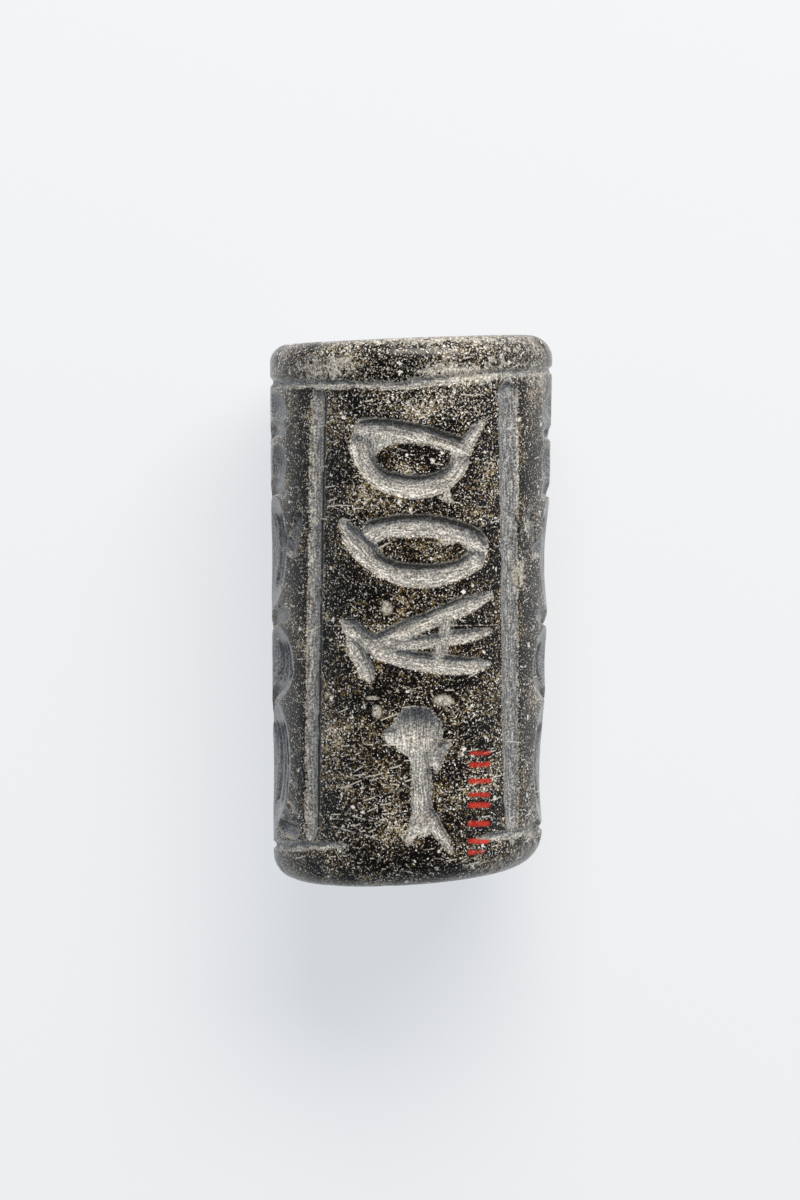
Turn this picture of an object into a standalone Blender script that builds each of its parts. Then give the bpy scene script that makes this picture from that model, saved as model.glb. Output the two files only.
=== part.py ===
"""Cylinder seal of dark polished stone, lying on its side with its sign panel facing up.

The seal is one turned piece of stone: a little thicker at the head than at the foot, both ends
cut slightly askew, with worn shoulders and a string hole bored from both ends. The side is
carved in hollow relief, as a seal is, between a head line and a foot line. Two ruled grooves
fence a panel of signs, and robed figures, a palm, a star and a crescent run round the rest.
A narrow flat worn along the underside keeps the stone from rolling.

Units are metres. +Y runs from foot to head, +Z is up, and the origin is under the middle.
The carving is laid out on the carver's own grid: AROUND units go once round the stone from the
middle of the panel, and UPWARD units go from the foot line to the head line.
"""

import math

import bmesh
import bpy
from mathutils import Matrix, Vector

# The stone
STONE_LENGTH = 0.027
HEAD_RADIUS = 0.0072
FOOT_RADIUS = 0.00685
HEAD_SLANT_ACROSS = math.radians(2.6)
FOOT_SLANT_ACROSS = math.radians(3.7)
FOOT_SLANT_UNDER = math.radians(5.9)
HEAD_SHOULDER = 0.0011
FOOT_SHOULDER = 0.00145
HEAD_SHOULDER_WEAR = 0.0002
FOOT_SHOULDER_WEAR = 0.00015
REST_FLAT_WIDTH = 0.0024

# The string hole, bored from both ends and worn wider at its mouths
BORE_WAIST_RADIUS = 0.0015
BORE_END_RADIUS = 0.0018
BORE_LIP = 0.0003

# The carver's grid
AROUND = 44
UPWARD = 24
HEAD_MARGIN = 0.00225
FOOT_MARGIN = 0.0011

# Widths and depths of the cuts
RULE_WIDTH, RULE_DEPTH = 0.00098, 0.0003
FRAME_WIDTH, FRAME_DEPTH = 0.00042, 0.00014
ALMOND_WIDTH, ALMOND_DEPTH = 0.00108, 0.0004
RAY_WIDTH, RAY_DEPTH = 0.00085, 0.0003
CUP_WIDTH, CUP_DEPTH = 0.0026, 0.00066
STEM_WIDTH, STEM_DEPTH = 0.001, 0.00032
TAIL_WIDTH, TAIL_DEPTH = 0.0007, 0.00024
LIMB_WIDTH, LIMB_DEPTH = 0.00075, 0.00036
ROBE_DEPTH = 0.0005
HEAD_DEPTH = 0.00045
FRINGE_WIDTH, FRINGE_DEPTH = 0.0004, 0.00016
FROND_WIDTH, FROND_DEPTH = 0.00055, 0.00026
SKY_WIDTH, SKY_DEPTH = 0.0005, 0.00026
RUN_OUT = 0.0006
LONG_RUN_OUT = 0.0018

# Fineness of the mesh
TURN_STEPS = 54
SIDE_STEPS = 6
ARC_STEPS = 4
LIP_STEPS = 2
BORE_STEPS = 2
LINE_STEPS = 14
STROKE_RESOLUTION = 2
SCOOP_SEGMENTS, SCOOP_RINGS = 16, 6
SCOOP_BULGE = 2.2
END_SHARE_OF_DEPTH = 0.12
END_SHARE_OF_WIDTH = 0.35

STONE_COLOUR = (0.022, 0.018, 0.014, 1.0)
STONE_ROUGHNESS = 0.28
SHARP_ANGLE = math.radians(28)

TAPER_TILT = math.atan((HEAD_RADIUS - FOOT_RADIUS) / STONE_LENGTH)


def clear_scene():
    for thing in list(bpy.data.objects):
        bpy.data.objects.remove(thing, do_unlink=True)


def new_collection(name):
    collection = bpy.data.collections.new(name)
    bpy.context.scene.collection.children.link(collection)
    return collection


def side_radius(along):
    """Radius of the uncarved side at a height along the axis, measured from mid-length."""
    middle = (HEAD_RADIUS + FOOT_RADIUS) / 2
    return middle + (HEAD_RADIUS - FOOT_RADIUS) * along / STONE_LENGTH


def arc(centre, radius, start, end, steps=ARC_STEPS):
    """Points of a profile arc from one angle to another, in degrees, both ends included."""
    turns = (math.radians(start + (end - start) * step / steps) for step in range(steps + 1))
    return [(centre[0] + radius * math.cos(t), centre[1] + radius * math.sin(t)) for t in turns]


def stone_profile():
    """Closed half-section: down the side, in over the foot, up the bore and out over the head."""
    half = STONE_LENGTH / 2
    head_arc_centre = (side_radius(half) - HEAD_SHOULDER, half - HEAD_SHOULDER)
    foot_arc_centre = (side_radius(-half) - FOOT_SHOULDER, -half + FOOT_SHOULDER)
    lip = BORE_END_RADIUS + BORE_LIP
    points = arc(head_arc_centre, HEAD_SHOULDER, 90, 0)
    for step in range(1, SIDE_STEPS):
        along = head_arc_centre[1] + (foot_arc_centre[1] - head_arc_centre[1]) * step / SIDE_STEPS
        points.append((side_radius(along), along))
    points += arc(foot_arc_centre, FOOT_SHOULDER, 0, -90)
    points += arc((lip, -half + BORE_LIP), BORE_LIP, -90, -180, LIP_STEPS)
    for step in range(1, BORE_STEPS):
        along = (-half + BORE_LIP) + (STONE_LENGTH - 2 * BORE_LIP) * step / BORE_STEPS
        widening = abs(along) / (half - BORE_LIP)
        points.append((BORE_WAIST_RADIUS + (BORE_END_RADIUS - BORE_WAIST_RADIUS) * widening, along))
    points += arc((lip, half - BORE_LIP), BORE_LIP, 180, 90, LIP_STEPS)
    return points


def turn_profile(name, points):
    """A closed profile turned once round local Z, as a plain mesh."""
    mesh = bpy.data.meshes.new(name)
    edges = [(i, (i + 1) % len(points)) for i in range(len(points))]
    mesh.from_pydata([(radius, 0, along) for radius, along in points], edges, [])
    guide = bpy.data.objects.new(name + "_profile", mesh)
    bpy.context.scene.collection.objects.link(guide)
    screw = guide.modifiers.new("turn", "SCREW")
    screw.steps = screw.render_steps = TURN_STEPS
    screw.use_merge_vertices = True
    screw.merge_threshold = 1e-6
    graph = bpy.context.evaluated_depsgraph_get()
    turned = bpy.data.meshes.new_from_object(guide.evaluated_get(graph))
    bpy.data.objects.remove(guide, do_unlink=True)
    turned.name = name
    return turned


def wear_shoulder(vertex, corner_radius, corner_along, size, wear):
    """Scales a shoulder's rounding about its sharp corner: more to one side, less to the other."""
    radius = math.hypot(vertex.co.x, vertex.co.y)
    margin = size * 1.001
    if radius < corner_radius - margin or abs(vertex.co.z) < abs(corner_along) - margin:
        return
    scale = 1 + wear / size * vertex.co.x / radius
    worn = corner_radius + (radius - corner_radius) * scale
    vertex.co.x *= worn / radius
    vertex.co.y *= worn / radius
    vertex.co.z = corner_along + (vertex.co.z - corner_along) * scale


def slant_ends(vertex):
    """Shifts a vertex along the axis, so that each end is a flat face cut askew."""
    near = -vertex.co.y
    at_head = vertex.co.x * math.tan(HEAD_SLANT_ACROSS)
    at_foot = vertex.co.x * math.tan(FOOT_SLANT_ACROSS) - near * math.tan(FOOT_SLANT_UNDER)
    share = min(1, max(0, vertex.co.z / STONE_LENGTH + 0.5))
    before = vertex.co.z
    vertex.co.z += at_head * share + at_foot * (1 - share)
    radius = math.hypot(vertex.co.x, vertex.co.y)
    if radius > BORE_END_RADIUS + BORE_LIP + HEAD_SHOULDER:
        grown = (radius + side_radius(vertex.co.z) - side_radius(before)) / radius
        vertex.co.x *= grown
        vertex.co.y *= grown


def make_stone(collection, stand):
    """The turned blank with its worn shoulders, askew ends and string hole."""
    mesh = turn_profile("cylinder_seal", stone_profile())
    half = STONE_LENGTH / 2
    for vertex in mesh.vertices:
        if vertex.co.z > 0:
            wear_shoulder(vertex, HEAD_RADIUS, half, HEAD_SHOULDER, HEAD_SHOULDER_WEAR)
        else:
            wear_shoulder(vertex, FOOT_RADIUS, -half, FOOT_SHOULDER, FOOT_SHOULDER_WEAR)
    for vertex in mesh.vertices:
        slant_ends(vertex)
    stone = bpy.data.objects.new("cylinder_seal", mesh)
    collection.objects.link(stone)
    stone.parent = stand
    return stone


def stone_material():
    material = bpy.data.materials.new("polished dark stone")
    material.use_nodes = True
    shader = material.node_tree.nodes["Principled BSDF"]
    shader.inputs["Base Color"].default_value = STONE_COLOUR
    shader.inputs["Roughness"].default_value = STONE_ROUGHNESS
    shader.inputs["Metallic"].default_value = 0.0
    return material


def unit_across():
    """Length of one grid unit round the stone at mid-length."""
    return 2 * math.pi * side_radius(0) / AROUND


def unit_up():
    """Length of one grid unit along the stone."""
    return (STONE_LENGTH - HEAD_MARGIN - FOOT_MARGIN) / UPWARD


def on_stone(across, up, lift=0.0):
    """Local point of the grid, lifted off the side by a distance in metres."""
    angle = 2 * math.pi * across / AROUND
    along = -STONE_LENGTH / 2 + FOOT_MARGIN + up * unit_up()
    radius = side_radius(along) + lift
    return Vector((radius * math.sin(angle), -radius * math.cos(angle), along))


def bow(start, end, rise=0.0, fullness=2.0, steps=6):
    """Grid points from start to end on an arc that stands rise units to the left of the way.

    A fullness of 2 is a parabola, and 1 is half an ellipse. The points crowd near the ends.
    """
    way = Vector(end) - Vector(start)
    left = Vector((-way.y, way.x)).normalized()
    points = []
    for step in range(steps + 1):
        turn = math.pi * step / steps
        share = (1 - math.cos(turn)) / 2
        points.append(Vector(start) + way * share + left * rise * math.sin(turn) ** fullness)
    return points


def distances(path):
    """Distance in metres of each grid point from the start of its path."""
    places = [on_stone(*point) for point in path]
    found = [0.0]
    for before, after in zip(places, places[1:]):
        found.append(found[-1] + (after - before).length)
    return found


def end_share(run, run_out, least):
    """How much of its full size a cut has at this distance from its end."""
    share = min(1, run / run_out)
    return least + (1 - least) * share * (2 - share)


def make_cutter(name, mesh, cutters, stand):
    cutter = bpy.data.objects.new("cut_" + name, mesh)
    cutter.hide_render = True
    cutter.display_type = "WIRE"
    cutters.objects.link(cutter)
    cutter.parent = stand
    return cutter


def outward(mesh):
    """Closes a mesh's seams and turns its faces outwards."""
    shape = bmesh.new()
    shape.from_mesh(mesh)
    bmesh.ops.remove_doubles(shape, verts=shape.verts, dist=1e-6)
    bmesh.ops.recalc_face_normals(shape, faces=shape.faces)
    shape.to_mesh(mesh)
    shape.free()
    return mesh


class Carver:
    """Makes one cutter for each stroke, scoop or drill hole of the carving."""

    def __init__(self, cutters, stand):
        self.cutters = cutters
        self.stand = stand

    def stroke(self, name, path, width, depth, run_outs=(RUN_OUT, RUN_OUT)):
        """A round-bottomed groove along grid points that runs out to nothing at its ends."""
        curve = bpy.data.curves.new(name, "CURVE")
        curve.dimensions = "3D"
        curve.bevel_depth = 1.0
        curve.bevel_resolution = STROKE_RESOLUTION
        curve.use_fill_caps = True
        spline = curve.splines.new("POLY")
        spline.points.add(len(path) - 1)
        runs = distances(path)
        for point, place, run in zip(spline.points, path, runs):
            shares = [
                min(
                    end_share(run, run_outs[0], least),
                    end_share(runs[-1] - run, run_outs[1], least),
                )
                for least in (END_SHARE_OF_WIDTH, END_SHARE_OF_DEPTH)
            ]
            wide, deep = width * shares[0], depth * shares[1]
            radius = (wide * wide / 4 + deep * deep) / (2 * deep)
            point.co = (*on_stone(*place, lift=radius - deep), 1)
            point.radius = radius
        guide = bpy.data.objects.new(name, curve)
        self.cutters.objects.link(guide)
        graph = bpy.context.evaluated_depsgraph_get()
        mesh = bpy.data.meshes.new_from_object(guide.evaluated_get(graph))
        bpy.data.objects.remove(guide, do_unlink=True)
        return make_cutter(name, outward(mesh), self.cutters, self.stand)

    def scoop(self, name, centre, length, width, depth, lean=0.0):
        """A smooth hollow: length and width in grid units, its long way up the stone.

        A lean in degrees swings its upper end to the right.
        """
        shape = bmesh.new()
        bmesh.ops.create_uvsphere(
            shape, u_segments=SCOOP_SEGMENTS, v_segments=SCOOP_RINGS, radius=1
        )
        bulge = SCOOP_BULGE * depth
        reach = math.sqrt(1 - (1 - depth / bulge) ** 2)
        half_sizes = (width * unit_across() / 2 / reach, length * unit_up() / 2 / reach, bulge)
        place = on_stone(*centre, lift=bulge - depth)
        out = Vector((place.x, place.y, 0)).normalized()
        up = Matrix.Rotation(math.radians(lean), 3, -out) @ Vector((0, 0, 1))
        frame = Matrix((up.cross(out), up, out)).transposed().to_4x4()
        sizes = Matrix.Diagonal((*half_sizes, 1))
        bmesh.ops.transform(
            shape, matrix=Matrix.Translation(place) @ frame @ sizes, verts=shape.verts
        )
        mesh = bpy.data.meshes.new(name)
        shape.to_mesh(mesh)
        shape.free()
        return make_cutter(name, outward(mesh), self.cutters, self.stand)

    def drill(self, name, centre, size, depth):
        """A round drill hole, its size in grid units."""
        return self.scoop(name, centre, size, size, depth)


def carve_frame(carver):
    """The head line all round, the foot line with its worn gap, and the panel's two rules.

    Each line is cut as two half turns that meet under the stone.
    """
    lines = {
        "head_line_left": ((-22.3, 24.2), (0.3, 23.8), 0.0),
        "head_line_right": ((-0.3, 23.9), (22.3, 24.2), 0.7),
        "foot_line_left": ((-22.3, 0.3), (-3.4, 0.35), -0.2),
        "foot_line_right": ((3.7, 0.7), (22.3, 0.4), 0.6),
    }
    for name, (start, end, rise) in lines.items():
        path = bow(start, end, rise, steps=LINE_STEPS)
        carver.stroke(name, path, FRAME_WIDTH, FRAME_DEPTH)
    left = bow((-5.0, 23.7), (-5.65, 0.5), rise=-0.05, steps=10)
    right = bow((5.25, 24.1), (6.2, 0.6), rise=-0.05, steps=10)
    carver.stroke("left_rule", left, RULE_WIDTH, RULE_DEPTH)
    carver.stroke("right_rule", right, RULE_WIDTH * 1.2, RULE_DEPTH, (RUN_OUT, LONG_RUN_OUT))


def carve_almonds(carver):
    """Two almond rings, each a bowed lid over a deeper bowed base, round a plain raised boss."""
    width, depth = ALMOND_WIDTH, ALMOND_DEPTH
    carver.stroke("upper_lid", bow((-2.8, 21.5), (2.9, 20.4), 0.4, 1.4, 8), width, depth)
    base = bow((-2.35, 21.2), (2.5, 20.5), -2.05, 1.1, 12)
    carver.stroke("upper_base", base, width * 1.2, depth)
    flick = bow((2.5, 20.5), (3.8, 22.1), steps=4)
    carver.stroke("upper_flick", flick, width * 0.65, depth * 0.7, (RUN_OUT, LONG_RUN_OUT))
    carver.stroke("lower_lid", bow((-2.3, 16.0), (3.9, 15.4), 1.0, 1.2, 10), width, depth)
    base = bow((-3.5, 16.8), (3.9, 15.4), -1.85, 2.0, 12)
    carver.stroke("lower_base", base, width * 1.1, depth, (LONG_RUN_OUT, RUN_OUT))


def carve_fan(carver):
    """Two rays that spread from a forked foot, and a tick that joins them."""
    knot = (-2.0, 10.5)
    rays = {"upper": ((4.4, 13.2), 0.15), "lower": ((4.3, 9.35), -0.35)}
    for name, (end, rise) in rays.items():
        ray = bow(knot, end, rise, steps=6)
        carver.stroke(name + "_ray", ray, RAY_WIDTH, RAY_DEPTH, (RUN_OUT, LONG_RUN_OUT))
    strokes = {
        "tick": ((2.05, 12.3), (1.4, 9.1)),
        "upper_fork": ((-3.5, 11.8), (-1.9, 10.4)),
        "lower_fork": ((-2.9, 10.5), (-1.9, 8.6)),
    }
    for name, (start, end) in strokes.items():
        carver.stroke(name, bow(start, end, 0.1, steps=4), RAY_WIDTH, RAY_DEPTH)


def carve_cup(carver):
    """A drilled cup on a stem with a forked tail."""
    carver.drill("cup", (0.45, 6.2), CUP_WIDTH / unit_across(), CUP_DEPTH)
    carver.scoop("cup_nick", (-0.8, 6.0), 0.9, 1.0, TAIL_DEPTH)
    carver.stroke("cup_hook", bow((2.1, 5.6), (1.5, 4.3), -0.3, steps=4), TAIL_WIDTH, TAIL_DEPTH)
    stem = bow((0.6, 5.6), (0.75, 1.6), steps=4)
    carver.stroke("stem", stem, STEM_WIDTH, STEM_DEPTH)
    for name, end in {"left": (0.0, 0.5), "right": (2.3, 0.1)}.items():
        tail = bow((0.75, 2.4), end, steps=4)
        carver.stroke(name + "_tail", tail, TAIL_WIDTH, TAIL_DEPTH, (RUN_OUT, LONG_RUN_OUT))


def carve_figure(carver, name, stand_at, facing, hand_up):
    """A standing worshipper in a long fringed robe, seen from the side.

    stand_at is the place round the stone, and facing is 1 to look right or -1 to look left.
    The face is a plain drilled hollow, as on any small seal.
    """

    def at(across, up):
        return (stand_at + facing * across, up)

    def line(part, start, end, rise=0.0, width=LIMB_WIDTH, depth=LIMB_DEPTH, steps=4):
        path = bow(at(*start), at(*end), facing * rise, steps=steps)
        carver.stroke(f"{name}_{part}", path, width, depth)

    carver.scoop(f"{name}_cap", at(0.5, 22.7), 1.7, 2.6, LIMB_DEPTH, 18 * facing)
    line("brim", (-1.9, 21.2), (1.7, 21.5), 0.2)
    carver.scoop(f"{name}_face", at(0.6, 19.8), 2.2, 2.3, HEAD_DEPTH)
    carver.scoop(f"{name}_chest", at(-0.2, 15.3), 5.6, 3.9, ROBE_DEPTH, 6 * facing)
    line("shoulder", (-2.3, 17.7), (1.7, 18.3), 0.6)
    line("elbow", (0.6, 16.9), (2.6, 15.2), -0.2)
    line("hand", (2.5, 15.3), (3.1, 19.6 if hand_up else 17.4), 0.2)
    carver.scoop(f"{name}_hip", at(0.5, 9.6), 3.6, 3.9, ROBE_DEPTH, 28 * facing)
    line("belt", (-2.5, 10.9), (2.0, 12.0), 0.4)
    carver.scoop(f"{name}_skirt", at(-0.1, 4.4), 6.4, 4.3, ROBE_DEPTH, 4 * facing)
    line("overfold", (-2.4, 6.2), (2.3, 9.2), 0.4)
    for fold in range(3):
        up = 1.3 * fold
        line(
            f"fringe_{fold}", (-1.6, 3.7 + up), (2.6, 0.6 + up), 0.25, FRINGE_WIDTH, FRINGE_DEPTH
        )
    line("foot", (0.4, 1.2), (2.8, 0.95))


def carve_palm(carver, stand_at):
    """A palm with a straight trunk, three pairs of drooping fronds and two fruit clusters."""
    trunk = bow((stand_at, 1.0), (stand_at, 14.6), steps=5)
    carver.stroke("palm_trunk", trunk, LIMB_WIDTH, LIMB_DEPTH)
    for side, word in ((-1, "left"), (1, "right")):
        for tier in range(3):
            start = (stand_at - side * 0.15, 14.1 + 0.5 * tier + 0.1 * side)
            end = (stand_at + side * (2.6 - 0.5 * tier), 13.0 + 2.6 * tier)
            frond = bow(start, end, side * (1.1 - 0.3 * tier), steps=5)
            name = f"palm_frond_{word}_{tier}"
            carver.stroke(name, frond, FROND_WIDTH, FROND_DEPTH, (RUN_OUT, LONG_RUN_OUT))
        carver.drill(f"palm_fruit_{word}", (stand_at + side * 1.1, 11.4), 1.2, LIMB_DEPTH)
        foot = bow((stand_at - side * 0.1, 1.7 + 0.1 * side), (stand_at + side * 1.8, 1.0), steps=3)
        carver.stroke(f"palm_root_{word}", foot, FROND_WIDTH, FROND_DEPTH)


def carve_sky(carver, star_at, crescent_at):
    """A six-rayed star and a crescent between the heads."""
    for ray in range(3):
        turn = math.pi * ray / 3
        reach = Vector((math.cos(turn), math.sin(turn))) * 1.4
        centre = Vector(star_at)
        path = bow(centre - reach, centre + reach * (1 + 0.06 * ray), 0.05 * ray, steps=4)
        carver.stroke(f"star_ray_{ray}", path, SKY_WIDTH, SKY_DEPTH)
    left, right = Vector((-1.4, 0.6)), Vector((1.4, 0.6))
    moon = bow(Vector(crescent_at) + left, Vector(crescent_at) + right, -1.4, 1.2, 8)
    carver.stroke("crescent", moon, SKY_WIDTH * 1.3, SKY_DEPTH)


def carve_rest_flat(cutters, stand):
    """The narrow flat along the underside, level when the stone lies on its lowest line."""
    radius = side_radius(0)
    half = REST_FLAT_WIDTH / 2
    drop = math.sqrt(radius * radius - half * half) * math.cos(TAPER_TILT)
    shape = bmesh.new()
    bmesh.ops.create_cube(shape, size=1)
    size = Matrix.Diagonal((4 * HEAD_RADIUS, HEAD_RADIUS, 2 * STONE_LENGTH, 1))
    place = Matrix.Translation((0, drop + HEAD_RADIUS / 2, 0))
    level = Matrix.Rotation(-TAPER_TILT, 4, "X")
    bmesh.ops.transform(shape, matrix=level @ place @ size, verts=shape.verts)
    mesh = bpy.data.meshes.new("rest_flat")
    shape.to_mesh(mesh)
    shape.free()
    make_cutter("rest_flat", outward(mesh), cutters, stand)


def carve_stone(cutters, stand):
    """Every cut of the seal: the frame, the sign panel, the frieze and the rest flat."""
    carver = Carver(cutters, stand)
    carve_frame(carver)
    carve_almonds(carver)
    carve_fan(carver)
    carve_cup(carver)
    carve_figure(carver, "left_worshipper", -9.4, 1, hand_up=False)
    carve_figure(carver, "right_worshipper", 10.3, -1, hand_up=False)
    carve_figure(carver, "third_worshipper", 17.2, -1, hand_up=True)
    carve_palm(carver, -16.8)
    carve_sky(carver, (-13.6, 21.2), (13.8, 21.6))
    carve_rest_flat(cutters, stand)


def finish_stone(stone, cutters):
    """Cuts the carving out of the blank and gives it its shading."""
    boolean = stone.modifiers.new("carving", "BOOLEAN")
    boolean.operation = "DIFFERENCE"
    boolean.solver = "EXACT"
    boolean.operand_type = "COLLECTION"
    boolean.collection = cutters
    stone.data.materials.append(stone_material())
    stone.data.shade_smooth()
    stone.data.set_sharp_from_angle(angle=SHARP_ANGLE)


def centre_on_base(stone, stand):
    """Moves the stand so that the origin is under the middle of the carved stone."""
    bpy.context.view_layer.update()
    graph = bpy.context.evaluated_depsgraph_get()
    carved = stone.evaluated_get(graph)
    corners = [carved.matrix_world @ vertex.co for vertex in carved.data.vertices]
    lows = [min(corner[axis] for corner in corners) for axis in range(3)]
    highs = [max(corner[axis] for corner in corners) for axis in range(3)]
    stand.location -= Vector(((lows[0] + highs[0]) / 2, (lows[1] + highs[1]) / 2, lows[2]))
    bpy.context.view_layer.update()


def main():
    clear_scene()
    parts = new_collection("cylinder seal")
    cutters = new_collection("cutters")
    stand = bpy.data.objects.new("lying_pose", None)
    parts.objects.link(stand)
    stand.rotation_euler.x = TAPER_TILT - math.pi / 2
    stand.location.z = side_radius(0)
    stone = make_stone(parts, stand)
    carve_stone(cutters, stand)
    finish_stone(stone, cutters)
    centre_on_base(stone, stand)


main()
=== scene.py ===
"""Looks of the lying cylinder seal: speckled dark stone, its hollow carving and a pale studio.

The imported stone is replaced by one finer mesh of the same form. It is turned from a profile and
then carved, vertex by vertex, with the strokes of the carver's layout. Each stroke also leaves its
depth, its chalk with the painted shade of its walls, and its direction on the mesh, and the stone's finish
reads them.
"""

import logging
import math
from abc import ABC, abstractmethod
from dataclasses import dataclass, field
from enum import Enum
from typing import ClassVar

import bmesh
import bpy
import numpy as np
from mathutils import Matrix, Vector


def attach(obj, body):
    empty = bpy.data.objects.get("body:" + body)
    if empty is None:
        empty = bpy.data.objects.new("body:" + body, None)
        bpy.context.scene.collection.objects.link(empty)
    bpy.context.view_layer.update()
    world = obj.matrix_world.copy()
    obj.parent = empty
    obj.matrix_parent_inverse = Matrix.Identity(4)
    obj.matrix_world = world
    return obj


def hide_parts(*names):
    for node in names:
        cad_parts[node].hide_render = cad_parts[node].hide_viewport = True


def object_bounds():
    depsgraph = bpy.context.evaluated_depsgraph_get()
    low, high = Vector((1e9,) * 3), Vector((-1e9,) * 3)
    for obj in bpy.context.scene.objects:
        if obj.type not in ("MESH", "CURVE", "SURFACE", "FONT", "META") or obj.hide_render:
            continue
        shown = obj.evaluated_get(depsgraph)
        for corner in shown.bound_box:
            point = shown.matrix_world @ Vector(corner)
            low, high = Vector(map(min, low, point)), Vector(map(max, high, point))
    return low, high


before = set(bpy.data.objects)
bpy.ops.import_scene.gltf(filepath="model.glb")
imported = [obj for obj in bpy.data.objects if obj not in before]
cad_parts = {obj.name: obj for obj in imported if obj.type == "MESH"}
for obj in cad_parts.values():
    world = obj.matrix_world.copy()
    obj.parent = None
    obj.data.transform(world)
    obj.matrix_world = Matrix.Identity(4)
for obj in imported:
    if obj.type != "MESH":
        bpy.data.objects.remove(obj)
CAD_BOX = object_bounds()

LOG = logging.getLogger("seal")
MM = 0.001
SEED = 7

Points = list[tuple[float, float]]
Stops = tuple[tuple[float, str], ...]
Array = np.ndarray
Node = bpy.types.Node
Tree = bpy.types.NodeTree
Feed = bpy.types.NodeSocket | Node


class Facing(Enum):
    """Which way a carved figure looks round the stone."""

    LEFT = -1
    RIGHT = 1


def linear(hex_colour: str, alpha: float = 1.0) -> tuple[float, float, float, float]:
    """Turns an sRGB hex colour to the linear values that a shader takes.

    Args:
        hex_colour: six hex digits after a hash sign.
        alpha: the fourth value.

    Returns:
        Linear red, green and blue, and alpha.
    """
    parts = [int(hex_colour[i : i + 2], 16) / 255 for i in (1, 3, 5)]
    red, green, blue = [p / 12.92 if p <= 0.04045 else ((p + 0.055) / 1.055) ** 2.4 for p in parts]
    return red, green, blue, alpha


def smooth_step(values: Array, low: float, high: float) -> Array:
    """Rises smoothly from 0 at low to 1 at high.

    Args:
        values: where to read the curve.
        low: the value that gives 0.
        high: the value that gives 1.

    Returns:
        The curve's height at each value.
    """
    share = np.clip((values - low) / (high - low), 0, 1)
    return share * share * (3 - 2 * share)


def lattice_noise(places: Array, cell: float, seed: int) -> Array:
    """Smooth value noise between -1 and 1.

    Args:
        places: points, one a row, in millimetres.
        cell: size of the noise's features in millimetres.
        seed: picks the pattern.

    Returns:
        One value for each point.
    """
    table = np.random.default_rng(SEED + seed).uniform(-1, 1, 4096)
    grid = places / cell
    base = np.floor(grid).astype(np.int64)
    share = grid - base
    share = share * share * (3 - 2 * share)
    total = np.zeros(len(places))
    for corner in np.ndindex(2, 2, 2):
        at = base + corner
        key = (at[:, 0] * 73856093) ^ (at[:, 1] * 19349663) ^ (at[:, 2] * 83492791)
        weight = np.where(corner, share, 1 - share).prod(axis=1)
        total += weight * table[key & 4095]
    return total


@dataclass(frozen=True)
class Stone:
    """Sizes of the turned stone, in metres and radians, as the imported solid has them."""

    length: float = 0.027
    head_radius: float = 0.0072
    foot_radius: float = 0.00685
    head_slant_across: float = math.radians(2.6)
    foot_slant_across: float = math.radians(3.7)
    foot_slant_under: float = math.radians(5.9)
    head_shoulder: float = 0.0011
    foot_shoulder: float = 0.00145
    head_shoulder_wear: float = 0.0002
    foot_shoulder_wear: float = 0.00015
    rest_flat_width: float = 0.0024
    bore_waist_radius: float = 0.0015
    bore_end_radius: float = 0.0018
    bore_lip: float = 0.0003
    head_margin: float = 0.00225
    foot_margin: float = 0.0011
    units_around: int = 44
    units_up: int = 24

    @property
    def half(self) -> float:
        """Half the length along the axis."""
        return self.length / 2

    @property
    def tilt(self) -> float:
        """How far the axis rises towards the head when the stone lies on its lowest line."""
        return math.atan((self.head_radius - self.foot_radius) / self.length)

    @property
    def unit_across(self) -> float:
        """Length of one grid unit round the stone at mid-length."""
        return 2 * math.pi * self.side_radius(0.0) / self.units_around

    @property
    def unit_up(self) -> float:
        """Length of one grid unit along the stone."""
        return (self.length - self.head_margin - self.foot_margin) / self.units_up

    def side_radius(self, along: float | Array) -> float | Array:
        """Radius of the uncarved side.

        Args:
            along: place on the axis from mid-length, towards the head.

        Returns:
            The radius there.
        """
        middle = (self.head_radius + self.foot_radius) / 2
        return middle + (self.head_radius - self.foot_radius) * along / self.length


def bow(
    start: tuple[float, float],
    end: tuple[float, float],
    rise: float = 0.0,
    fullness: float = 2.0,
    steps: int = 24,
) -> Points:
    """Grid points on an arc between two places.

    Args:
        start: first place, across and up.
        end: last place.
        rise: how far the arc stands to the left of the way, in grid units.
        fullness: 2 gives a parabola and 1 half an ellipse.
        steps: number of stretches.

    Returns:
        The points in order.
    """
    way = Vector(end) - Vector(start)
    left = Vector((-way.y, way.x)).normalized()
    points = []
    for step in range(steps + 1):
        turn = math.pi * step / steps
        share = (1 - math.cos(turn)) / 2
        place = Vector(start) + way * share + left * rise * math.sin(turn) ** fullness
        points.append((place.x, place.y))
    return points


@dataclass(frozen=True)
class Cut(ABC):
    """One mark of the carver's tool. Its chalk_and_shade says how chalky it is, from polished to thick with
    chalk; below zero it paints shade.
    """

    width: float
    depth: float
    chalk_and_shade: float
    # Share of the chalk that the painted shade on the upper wall spares.
    chalk_spared_by_shade: ClassVar[float] = 0.1

    @abstractmethod
    def read(self, across: Array, up: Array) -> tuple[Array, Array, Array, Array]:
        """Measures the cut over part of the unrolled side.

        Args:
            across: places round the stone, in millimetres.
            up: places along the stone, in millimetres.

        Returns:
            Depth and distance inside the lip in millimetres, both negative outside, then the
            way along the cut and across it.
        """

    @abstractmethod
    def reach(self) -> tuple[float, float, float, float]:
        """The lowest and highest places across and up that the cut can touch."""


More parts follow.
